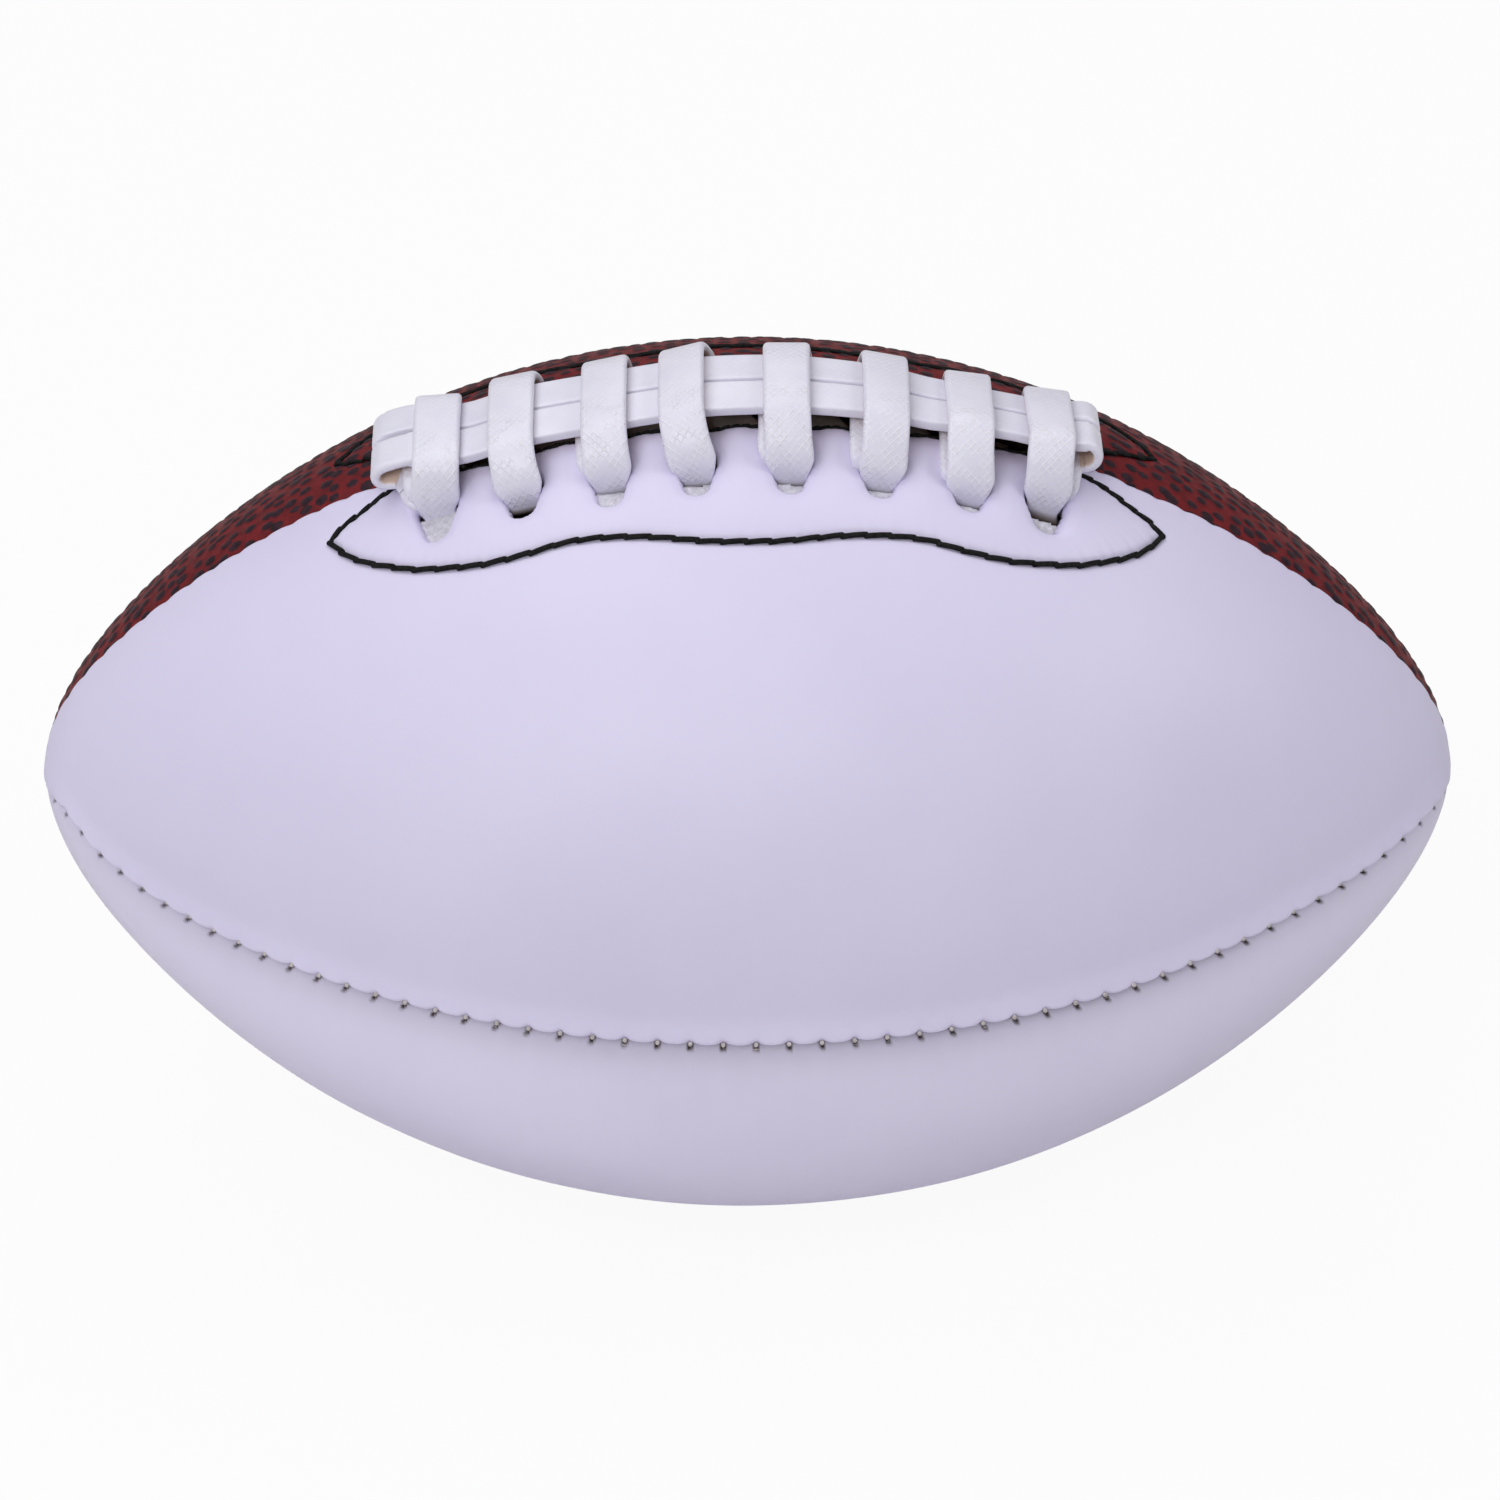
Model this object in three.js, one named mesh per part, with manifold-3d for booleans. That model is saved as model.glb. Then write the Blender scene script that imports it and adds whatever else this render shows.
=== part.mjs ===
// American football: four sewn panels over linings and an air bladder, closed by one threaded lace.
// Millimetres. The origin is the middle of the ball, +X runs tip to tip and +Z points at the lacing.
// A place on the ball is x along its length, a distance across from the lace seam (front is positive)
// and a height above the cover's outer face. Angles turn from the lace seam towards the front.
import * as THREE from 'three';
import { mergeVertices } from 'three/addons/utils/BufferGeometryUtils.js';
import Module from 'manifold-3d';

const wasm = await Module();
wasm.setup();

// Ball outline
const LENGTH = 277;
const DIAMETER = 172;
const SHOULDER_TAPER = 0.16;
const NOSE_TAPER = 0.12;
const TIP_RADIUS = 1.6;

// Layers of the wall
const PANEL_THICKNESS = 1.6;
const LINING_THICKNESS = 1.2;
const FACING_THICKNESS = 1.0;
const TONGUE_THICKNESS = 1.0;
const BLADDER_THICKNESS = 0.9;
const LAYER_GAP = 0.4;
const SEAT_GAP = 0.3;
const FACET_EASE = 0.7;
const DENT_FADE = 2.2;

// Seams
const SEAM_GAP = 0.4;
const SEAM_ROLL = 2.0;
const SEAM_ALLOWANCE = 3.6;
const SEAM_THREAD = 0.8;
const THREAD_END_ANGLE = 76;

// Lacing slit and its stitched facing
const SLIT_LENGTH = 136;
const SLIT_WIDTH = 12.0;
const LIP_DEPTH = 3.0;
const LIP_THREAD = 0.8;
const FACING_THREAD = 1.0;
const FACING_MARGIN = 2.0;
const FACING_OUTLINE = [
  [72.5, 8.3], [79.5, 12], [75.5, 18.5], [67.5, 25], [58, 29.3], [46.5, 31], [26, 30.6], [0, 33],
];

// Lace and its holes
const LACE_WIDTH = 9.0;
const LACE_THICKNESS = 2.0;
const LACE_GAP = 0.45;
const LACE_BEVEL = 0.7;
const CROSS_LACES = 8;
const CROSS_PITCH = 16.9;
const HOLE_ROW = 17.0;
const HOLE_CLEARANCE = 0.6;
const HOLE_TAIL = 3.2;
const HOLE_INNER_CORNER = 2.9;
const HOLE_OUTER_CORNER = 4.6;
const LACE_BEND = 1.8;
const SHOULDER_DROP = 0.15;
const LOOP_RADIUS = 2.35;
const END_SHIFT = 2.0;
const TAIL_LENGTH = 7.0;

// Valve
const VALVE_ANGLE = -58;
const VALVE_PLUG = 8.0;
const VALVE_FLANGE = 18.0;
const VALVE_FLANGE_THICKNESS = 1.2;
const VALVE_NOZZLE = 5.6;
const VALVE_LENGTH = 16.0;
const NEEDLE_BORE = 2.4;
const VALVE_RECESS = 0.4;

// Facet counts
const STATIONS = 18;
const PANEL_FACETS = 8;
const LINING_ENDS = 2;
const FACING_STATIONS = 8;
const FACING_FACETS = 4;
const TONGUE_STATIONS = 6;
const TONGUE_FACETS = 6;
const BLADDER_SIDE_FACETS = 7;
const INSIDE_STEPS = 6;
const STRAND_STEPS = 8;
const LEG_STEPS = 3;
const TURN_STEPS = 4;
const LOOP_STEPS = 5;
const HOLE_CORNER_STEPS = 3;
const THREAD_STEPS = 18;
const THREAD_SIDES = 4;
const VALVE_SIDES = 20;

const DEGREES = Math.PI / 180;
const RIGHT_ANGLE = Math.PI / 2;

// How far the middle of a quarter arc keeps from its two ends' corner, as a share of its radius
const ARC_MIDDLE = 1 - Math.SQRT1_2;

// Depths below the outer face, from the outside in
const liningTop = -(PANEL_THICKNESS + LAYER_GAP);
const liningBottom = liningTop - LINING_THICKNESS;
const facingTop = -(PANEL_THICKNESS + SEAT_GAP + FACET_EASE);
const facingBottom = facingTop - FACING_THICKNESS;
const bladderTop = Math.min(liningBottom, -SEAM_ALLOWANCE) - SEAT_GAP - FACET_EASE;
const innerLace = facingBottom - LAYER_GAP - LACE_THICKNESS / 2;
const deepLace = innerLace - LACE_THICKNESS - LACE_GAP;
const tongueTop = deepLace - LACE_THICKNESS / 2 - LAYER_GAP;
const dentDepth = bladderTop - (tongueTop - TONGUE_THICKNESS - SEAT_GAP);

// Heights of the lace above the outer face
const underHeight = LACE_THICKNESS / 2 + SEAT_GAP;
const bandHeight = underHeight + 2 * LOOP_RADIUS;
const overHeight = bandHeight + LACE_THICKNESS + LACE_GAP;

// Places across the seam
const strandSide = (LACE_WIDTH + LACE_GAP) / 2;
const bandSide = LACE_WIDTH + LACE_GAP / 2;
const underRow = HOLE_ROW - LACE_THICKNESS - LACE_GAP - SEAT_GAP / 2;
const holeInner = underRow - LACE_THICKNESS / 2 - 2 * HOLE_CLEARANCE;
const facingHole = HOLE_ROW + LACE_THICKNESS / 2 + 2 * HOLE_CLEARANCE;
const holeOuter = facingHole + HOLE_TAIL;
const lastLace = (CROSS_LACES - 1) / 2 * CROSS_PITCH;

const halfLength = LENGTH / 2;
const tipAngle = Math.acos(TIP_RADIUS / (DIAMETER / 2 * (1 - SHOULDER_TAPER - NOSE_TAPER)));

// The ball's outline at a station angle: place, radius and outward normal
function outline(station) {
  const along = Math.sin(station);
  const round = Math.cos(station);
  const taper = 1 - SHOULDER_TAPER * along ** 2 - NOSE_TAPER * along ** 4;
  const taperSlope = -2 * SHOULDER_TAPER * along - 4 * NOSE_TAPER * along ** 3;
  const slope = DIAMETER / 2 * (taperSlope * round ** 2 - along * taper);
  const size = Math.hypot(halfLength * round, slope);
  return {
    x: halfLength * along,
    radius: DIAMETER / 2 * round * taper,
    normalX: -slope / size,
    normalR: halfLength * round / size,
  };
}

const stationAt = (x) => Math.asin(x / halfLength);

// Distance from the long axis at a height over the outline
const reachAt = (station, height) => outline(station).radius + height * outline(station).normalR;

function ballPoint(station, angle, height) {
  const place = outline(station);
  const reach = place.radius + height * place.normalR;
  return new THREE.Vector3(
    place.x + height * place.normalX, -reach * Math.sin(angle), reach * Math.cos(angle));
}

// A point given by its place along the ball and its distance across from the lace seam
function lacePoint(x, across, height) {
  const station = stationAt(x);
  return ballPoint(station, across / outline(station).radius, height);
}

function spread(first, last, steps) {
  return Array.from({ length: steps + 1 }, (_, i) => first + (last - first) * i / steps);
}

// Closed surfaces
function surface(points, triangles) {
  const geometry = new THREE.BufferGeometry();
  geometry.setAttribute('position', new THREE.Float32BufferAttribute(points.flatMap((p) => p.toArray()), 3));
  const volume = triangles.reduce((sum, [a, b, c]) =>
    sum + points[a].dot(new THREE.Vector3().crossVectors(points[b], points[c])), 0);
  const facing = volume < 0 ? triangles.map(([a, b, c]) => [a, c, b]) : triangles;
  geometry.setIndex(facing.flat());
  return geometry;
}

// Skins a row of closed loops and caps both ends; capShape gives each loop's flat form for its cap
function loft(loops, capShape) {
  const count = loops[0].length;
  const triangles = [];
  for (let row = 0; row + 1 < loops.length; row += 1) {
    for (let i = 0; i < count; i += 1) {
      const next = (i + 1) % count;
      const a = row * count + i;
      const b = row * count + next;
      triangles.push([a, b, b + count], [a, b + count, a + count]);
    }
  }
  const cap = THREE.ShapeUtils.triangulateShape(capShape, []);
  const turned = THREE.ShapeUtils.isClockWise(capShape);
  const last = (loops.length - 1) * count;
  for (const [a, b, c] of cap) {
    const [p, q] = turned ? [b, c] : [c, b];
    triangles.push([a, p, q], [last + a, last + q, last + p]);
  }
  return surface(loops.flat(), triangles);
}

// A curved sheet between two heights; each row lists angles at one station
function sheet(stations, anglesAt, top, bottom) {
  const loops = stations.map((station) => {
    const angles = anglesAt(station);
    const upper = angles.map((angle) => ballPoint(station, angle, top(station, angle)));
    const lower = angles.map((angle) => ballPoint(station, angle, bottom(station, angle)));
    return [...upper, ...lower.reverse()];
  });
  return loft(loops, loops[0].map((p) => new THREE.Vector2(p.y, p.z)));
}

// Joins and cuts
function solidOf(geometry) {
  const bare = geometry.clone();
  bare.deleteAttribute('normal');
  bare.deleteAttribute('uv');
  const merged = mergeVertices(bare, 1e-4);
  return new wasm.Manifold(new wasm.Mesh({
    numProp: 3,
    vertProperties: new Float32Array(merged.attributes.position.array),
    triVerts: new Uint32Array(merged.index.array),
  }));
}

function geometryOf(solid) {
  const mesh = solid.getMesh();
  const geometry = new THREE.BufferGeometry();
  geometry.setAttribute('position', new THREE.BufferAttribute(new Float32Array(mesh.vertProperties), 3));
  geometry.setIndex([...mesh.triVerts]);
  return geometry;
}

function cut(geometry, cutters) {
  const body = cutters.reduce((solid, cutter) => solid.subtract(solidOf(cutter)), solidOf(geometry));
  return geometryOf(body);
}

// A round bar along a curve
function cord(points, thickness, steps) {
  const section = new THREE.Shape();
  for (let i = 0; i < THREAD_SIDES; i += 1) {
    const turn = 2 * Math.PI * i / THREAD_SIDES;
    const place = [thickness / 2 * Math.cos(turn), thickness / 2 * Math.sin(turn)];
    if (i === 0) section.moveTo(...place);
    else section.lineTo(...place);
  }
  section.closePath();
  return new THREE.ExtrudeGeometry(section, {
    steps, bevelEnabled: false, curveSegments: 1, extrudePath: new THREE.CatmullRomCurve3(points),
  });
}

// Half the width of the lacing slit at a station
function slitOpen(station) {
  const along = outline(station).x / (SLIT_LENGTH / 2);
  return Math.abs(along) < 1 ? (1 - along ** 2) ** 0.75 : 0;
}

// How far a panel's edge keeps from its seam, and how deep its turned-in edge runs
function panelEdge(station, onLaceSeam) {
  const open = onLaceSeam ? slitOpen(station) : 0;
  const fade = Math.min(1, outline(station).radius / SEAM_ALLOWANCE / 2);
  return {
    side: SEAM_GAP / 2 * fade + open * SLIT_WIDTH / 2,
    roll: SEAM_ROLL * fade,
    wall: PANEL_THICKNESS * fade,
    depth: SEAM_ALLOWANCE + (LIP_DEPTH - SEAM_ALLOWANCE) * open,
  };
}

const stations = spread(-tipAngle, tipAngle, STATIONS);

// The angle that a distance from a seam takes up at a height
const seamTurn = (station, side, height) => Math.asin(side / reachAt(station, height));

// Angles across a quarter of the ball, between the crests of its two rolled edges
function quarterAngles(station, quarter) {
  const [first, last] = quarter.onLaceSeam.map((onLaceSeam) => {
    const edge = panelEdge(station, onLaceSeam);
    return seamTurn(station, edge.side + edge.roll, 0);
  });
  return spread(quarter.start + first, quarter.start + RIGHT_ANGLE - last, PANEL_FACETS);
}

// One quarter of the cover, with rolled edges that turn in at both seams
function panel(quarter) {
  let flat;
  const loops = stations.map((station) => {
    const [first, last] = quarter.onLaceSeam.map((onLaceSeam) => panelEdge(station, onLaceSeam));
    const fromFirst = (side, height) => [
      quarter.start + seamTurn(station, first.side + side, height), height];
    const fromLast = (side, height) => [
      quarter.start + RIGHT_ANGLE - seamTurn(station, last.side + side, height), height];
    const between = quarterAngles(station, quarter);
    const outer = [
      fromFirst(0, -first.depth),
      fromFirst(0, -first.roll),
      fromFirst(ARC_MIDDLE * first.roll, -ARC_MIDDLE * first.roll),
      ...between.map((angle) => [angle, 0]),
      fromLast(ARC_MIDDLE * last.roll, -ARC_MIDDLE * last.roll),
      fromLast(0, -last.roll),
      fromLast(0, -last.depth),
    ];
    const inner = [
      fromLast(last.wall, -last.depth),
      fromLast(last.wall, -PANEL_THICKNESS),
      ...between.slice(1, -1).reverse().map((angle) => [angle, -PANEL_THICKNESS]),
      fromFirst(first.wall, -PANEL_THICKNESS),
      fromFirst(first.wall, -first.depth),
    ];
    const loop = [...outer, ...inner];
    flat = flat ?? loop.map(([angle, height]) => new THREE.Vector2(angle * TIP_RADIUS, height));
    return loop.map(([angle, height]) => ballPoint(station, angle, height));
  });
  return loft(loops, flat);
}

// A slot's outline; each corner is square or rounded, by the radius at its end of the slot
function slotShape(width, depth, cornerAt, cornerSteps) {
  const points = [];
  [[1, -1], [1, 1], [-1, 1], [-1, -1]].forEach(([right, up], quarter) => {
    const corner = cornerAt(up);
    for (let step = 0; step <= cornerSteps; step += 1) {
      const turn = (quarter - 1 + step / Math.max(cornerSteps, 1)) * RIGHT_ANGLE;
      points.push(new THREE.Vector2(
        right * (width / 2 - corner) + corner * Math.cos(turn),
        up * (depth / 2 - corner) + corner * Math.sin(turn)));
    }
  });
  return new THREE.Shape(points);
}

// A slot cutter down through the wall: round and long in the cover, square and close in the facing
function laceHole(index, side, inCover) {
  const atEnd = index === 0 ? -1 : Number(index === CROSS_LACES - 1);
  const x = crossPlace(index) + atEnd * END_SHIFT / 2;
  const width = LACE_WIDTH + 2 * HOLE_CLEARANCE + Math.abs(atEnd) * END_SHIFT;
  const outer = inCover ? holeOuter : facingHole;
  const depth = outer - holeInner;
  const cornerAt = (up) => (up === side ? HOLE_INNER_CORNER : HOLE_OUTER_CORNER);
  const slot = inCover
    ? slotShape(width, depth, cornerAt, HOLE_CORNER_STEPS)
    : slotShape(width, depth, () => 0, 0);
  const reach = PANEL_THICKNESS - facingBottom + LACE_THICKNESS;
  const cutter = new THREE.ExtrudeGeometry(slot, { depth: 2 * reach, bevelEnabled: false });
  cutter.translate(0, 0, -reach - PANEL_THICKNESS);
  const across = side * (holeInner + outer) / 2;
  const place = lacePoint(x, across, 0);
  const outward = lacePoint(x, across, 1).sub(place);
  const along = new THREE.Vector3(1, 0, 0).addScaledVector(outward, -outward.x).normalize();
  const frame = new THREE.Matrix4().makeBasis(along, outward.clone().cross(along), outward);
  return cutter.applyMatrix4(frame.setPosition(place));
}

function crossPlace(index) {
  return index * CROSS_PITCH - lastLace;
}

function holesOn(side, inCover) {
  return spread(0, CROSS_LACES - 1, CROSS_LACES - 1).map((index) => laceHole(index, side, inCover));
}

// Linings lie inside the panels, clear of the turned-in edges
function lining(quarter) {
  const angles = (station) => {
    const [first, last] = quarter.onLaceSeam.map((onLaceSeam) => {
      const edge = panelEdge(station, onLaceSeam);
      return seamTurn(station, edge.side + edge.wall + LAYER_GAP, liningBottom);
    });
    return [
      quarter.start + first,
      ...quarterAngles(station, quarter).slice(1, -1),
      quarter.start + RIGHT_ANGLE - last,
    ];
  };
  return sheet(stations.slice(LINING_ENDS, -LINING_ENDS), angles, () => liningTop, () => liningBottom);
}

// The stitched line round the lacing, from its end by the slit to the middle, then mirrored
function facingLine(side) {
  const half = FACING_OUTLINE.map(([x, across]) => [-x, across]);
  const mirrored = FACING_OUTLINE.slice(0, -1).reverse();
  return [...half, ...mirrored].map(([x, across]) => new THREE.Vector2(x, side * across));
}

// Outer edge of the facing: its place across at each station, just outside the stitched line
function facingEdge() {
  const line = new THREE.SplineCurve(FACING_OUTLINE.slice(1).map((p) => new THREE.Vector2(...p)));
  const half = line.getPoints(FACING_STATIONS).slice(1);
  const rows = [...half.map((p) => [-p.x, p.y]), ...half.slice(0, -1).reverse().map((p) => [p.x, p.y])];
  return new Map(rows.map(([x, across]) => [stationAt(x), across + FACING_MARGIN]));
}

// Reinforcing patch under the holes, from the slit out to its edge
function facing(side) {
  const edge = facingEdge();
  const angles = (station) => {
    const lip = panelEdge(station, true);
    const inner = lip.side + lip.wall + LAYER_GAP;
    return spread(inner, edge.get(station), FACING_FACETS)
      .map((across) => side * across / outline(station).radius);
  };
  return sheet([...edge.keys()], angles, () => facingTop, () => facingBottom);
}

// The facing takes the lining's place round the lacing
function liningWindow(side) {
  const edge = facingEdge();
  const ends = [...edge.keys()];
  const wider = 1 + 2 * LAYER_GAP / FACING_OUTLINE[1][0];
  const angles = (station) => [0, edge.get(station / wider) + LAYER_GAP]
    .map((across) => side * across / outline(station).radius);
  return sheet(ends.map((station) => station * wider), angles, () => -facingBottom, () => 2 * facingBottom);
}

function threadAlong(points, height, thickness) {
  return points.map((p) => lacePoint(p.x, p.y, height + thickness / 2));
}

function facingThread(side) {
  return cord(threadAlong(facingLine(side), SEAT_GAP, FACING_THREAD), FACING_THREAD, 2 * THREAD_STEPS);
}

// Thread along each lip of the slit
function lipThread(side) {
  const end = stationAt(lastLace - LACE_WIDTH / 2);
  const line = spread(-end, end, THREAD_STEPS / 2).map((station) => {
    const edge = panelEdge(station, true);
    return new THREE.Vector2(outline(station).x, side * (edge.side + edge.roll));
  });
  return cord(threadAlong(line, SEAT_GAP, LIP_THREAD), LIP_THREAD, THREAD_STEPS / 2);
}

// Thread lying in the groove of a seam
function seamThread(angle, firstStation, lastStation, steps) {
  const points = spread(firstStation, lastStation, steps)
    .map((station) => ballPoint(station, angle, -SEAM_THREAD));
  return cord(points, SEAM_THREAD, steps);
}

// The bladder follows the wall, with a dent that leaves room for the lace inside
const tongueEnd = stationAt(lastLace + END_SHIFT + LACE_WIDTH);
const tongueSide = (holeOuter + LACE_WIDTH) / (DIAMETER / 2);
const tongueStations = spread(-tongueEnd, tongueEnd, TONGUE_STATIONS);
const tongueAngles = spread(-tongueSide, tongueSide, TONGUE_FACETS);
const beyondTongue = stations.filter((station) => station > tongueEnd + tongueEnd / TONGUE_STATIONS);
const bladderStations = [
  ...beyondTongue.map((station) => -station).reverse(),
  ...tongueStations,
  ...beyondTongue,
];
const bladderAngles = [
  ...tongueAngles,
  ...spread(tongueSide, 2 * Math.PI - tongueSide, 2 * BLADDER_SIDE_FACETS).slice(1, -1),
];

function dent(station, angle) {
  const turned = Math.abs(Math.min(angle, 2 * Math.PI - angle));
  const along = THREE.MathUtils.smoothstep(Math.abs(station), tongueEnd, DENT_FADE * tongueEnd);
  const across = THREE.MathUtils.smoothstep(turned, tongueSide, DENT_FADE * tongueSide);
  return dentDepth * (1 - along) * (1 - across);
}

const bladderFace = (station, angle) => bladderTop - dent(station, angle);

function bladderSkin(inset) {
  const loops = bladderStations.map((station) => bladderAngles
    .map((angle) => ballPoint(station, angle, bladderFace(station, angle) - inset)));
  const flat = bladderAngles.map((angle) => new THREE.Vector2(Math.cos(angle), Math.sin(angle)));
  return loft(loops, flat);
}

function bladder() {
  const hollow = solidOf(bladderSkin(0)).subtract(solidOf(bladderSkin(BLADDER_THICKNESS)));
  return geometryOf(hollow.subtract(solidOf(valveBore(VALVE_PLUG / 2 + SEAT_GAP))));
}

// A flap between the inner lace and the bladder
function tongue() {
  const trim = 1 - 2 * FACING_MARGIN / lastLace;
  const covers = [-trim * tongueEnd, ...tongueStations.slice(1, -1), trim * tongueEnd];
  const under = (station, angle) => bladderFace(station, angle) + SEAT_GAP;
  return sheet(covers, () => tongueAngles,
    (station, angle) => under(station, angle) + TONGUE_THICKNESS, under);
}

// Valve: a plug in the cover, a flange inside the bladder and a nozzle round the needle bore
function placeOnValve(geometry) {
  const angle = VALVE_ANGLE * DEGREES;
  const outward = new THREE.Vector3(0, -Math.sin(angle), Math.cos(angle));
  const turn = new THREE.Quaternion().setFromUnitVectors(new THREE.Vector3(0, 0, 1), outward);
  return geometry.applyQuaternion(turn).translate(...ballPoint(0, angle, 0).toArray());
}

function valveBore(radius) {
  const bore = new THREE.CylinderGeometry(radius, radius, 3 * VALVE_LENGTH, VALVE_SIDES);
  return placeOnValve(bore.rotateX(Math.PI / 2));
}

function valve() {
  const flangeTop = bladderTop - BLADDER_THICKNESS - 3 * FACET_EASE - SEAT_GAP;
  const flangeBottom = flangeTop - VALVE_FLANGE_THICKNESS;
  const profile = [
    [NEEDLE_BORE / 2, -VALVE_LENGTH],
    [VALVE_NOZZLE / 2, -VALVE_LENGTH],
    [VALVE_NOZZLE / 2, flangeBottom],
    [VALVE_FLANGE / 2, flangeBottom],
    [VALVE_FLANGE / 2, flangeTop],
    [VALVE_PLUG / 2, flangeTop],
    [VALVE_PLUG / 2, -VALVE_RECESS],
    [NEEDLE_BORE / 2, -VALVE_RECESS],
    [NEEDLE_BORE / 2, -VALVE_LENGTH],
  ];
  const turned = new THREE.LatheGeometry(profile.map((p) => new THREE.Vector2(...p)), VALVE_SIDES);
  return placeOnValve(turned.rotateX(Math.PI / 2));
}

// Route of the lace: places along, across and over the ball, and the way its width points,
// turned in the ball's surface from +X
function laceRoute() {
  const route = [];
  let turn = 0;
  const go = (x, across, height) => route.push({ x, across, height, turn });
  const bend = LACE_BEND;
  const corner = ARC_MIDDLE * LACE_BEND;

  // Inside the ball, from one hole to another, changing depth between two places across
  const inside = (from, to, depths, change) => {
    const way = Math.sign(to.across - from.across);
    go(from.x, from.across, depths[0] + bend);
    go(from.x, from.across + way * corner, depths[0] + corner);
    go(from.x, from.across + way * bend, depths[0]);
    const start = from.across + way * bend;
    const end = to.across - way * bend;
    for (const across of spread(start, end, INSIDE_STEPS).slice(1, -1)) {
      const deeper = THREE.MathUtils.smoothstep(way * across, way * change[0], way * change[1]);
      go(THREE.MathUtils.mapLinear(across, start, end, from.x, to.x), across,
        THREE.MathUtils.lerp(depths[0], depths[1], deeper));
    }
    go(to.x, end, depths[1]);
    go(to.x, to.across - way * corner, depths[1] + corner);
    go(to.x, to.across, depths[1] + bend);
  };

  // Outside, over the two long strands, from the front row of holes to the rear row
  const over = (x) => {
    const shoulder = new THREE.Vector2(bandSide + LACE_THICKNESS, overHeight - SHOULDER_DROP);
    const leg = new THREE.CubicBezierCurve(
      new THREE.Vector2(HOLE_ROW, 0),
      new THREE.Vector2(HOLE_ROW, overHeight / 2),
      new THREE.Vector2(shoulder.x + LACE_THICKNESS, shoulder.y - SHOULDER_DROP),
      shoulder,
    ).getPoints(LEG_STEPS);
    const half = [...leg, new THREE.Vector2(bandSide / 2, overHeight)];
    half.forEach((p) => go(x, p.x, p.y));
    half.reverse().forEach((p) => go(x, -p.x, p.y));
  };

  // From an end hole up beside the cross lace, round in the surface and up into a loop, or the way back
  const endLoop = (end, side, outward) => {
    const x = end * (lastLace + END_SHIFT);
    const round = LACE_WIDTH / 2 + LACE_THICKNESS;
    const start = turn;
    const places = [
      [x, underRow, underHeight - bend, 0],
      [x, underRow - corner, underHeight - corner, 0],
      [x, underRow - bend, underHeight, 0],
      ...spread(0, 90, TURN_STEPS).map((angle) => [
        x + end * round * (1 - Math.cos(angle * DEGREES)),
        strandSide + round * (1 - Math.sin(angle * DEGREES)), underHeight, angle]),
      ...spread(-60, 90, LOOP_STEPS).map((angle) => [
        x + end * (round + LOOP_RADIUS * Math.cos(angle * DEGREES)),
        strandSide, underHeight + LOOP_RADIUS * (1 + Math.sin(angle * DEGREES)), 90]),
    ];
    const ordered = outward ? places : places.reverse();
    for (const [px, across, height, turned] of ordered) {
      turn = start - (outward ? turned : 90 - turned) * DEGREES;
      go(px, side * across, height);
    }
  };

  const strand = (from, to, side) => {
    const reach = lastLace - LACE_WIDTH;
    spread(from * reach, to * reach, STRAND_STEPS).forEach((x) => go(x, side * strandSide, bandHeight));
  };

  const endHole = (end, side) => ({ x: end * (lastLace + END_SHIFT), across: side * underRow });
  const hole = (index, side) => ({ x: crossPlace(index), across: side * HOLE_ROW });

  // The tucked tail, then the front strand to the far end and back along the rear strand
  const first = endHole(-1, 1);
  go(first.x, first.across - TAIL_LENGTH, innerLace);
  go(first.x, first.across - bend, innerLace);
  go(first.x, first.across - corner, innerLace + corner);
  go(first.x, first.across, innerLace + bend);
  endLoop(-1, 1, true);
  strand(-1, 1, 1);
  endLoop(1, 1, false);
  inside(endHole(1, 1), endHole(1, -1), [innerLace, innerLace], [1, -1]);
  endLoop(1, -1, true);
  strand(1, -1, -1);
  endLoop(-1, -1, false);
  inside(endHole(-1, -1), hole(0, 1), [innerLace, deepLace], [-1, HOLE_ROW / 3]);

  // The cross laces, joined by slanted runs inside the ball
  const last = CROSS_LACES - 1;
  for (let index = 0; index <= last; index += 1) {
    over(crossPlace(index));
    if (index < last) {
      const depths = [index === 0 ? deepLace : innerLace, index === last - 1 ? deepLace : innerLace];
      const change = index === 0 ? [-1, HOLE_ROW / 2] : [-HOLE_ROW / 2, 0];
      inside(hole(index, -1), hole(index + 1, 1), depths, change);
    }
  }
  const tail = hole(last, -1);
  go(tail.x, tail.across, innerLace + bend);
  go(tail.x, tail.across - corner, innerLace + corner);
  go(tail.x, tail.across - bend, innerLace);
  go(tail.x, tail.across - TAIL_LENGTH, innerLace);
  return route;
}

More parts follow.
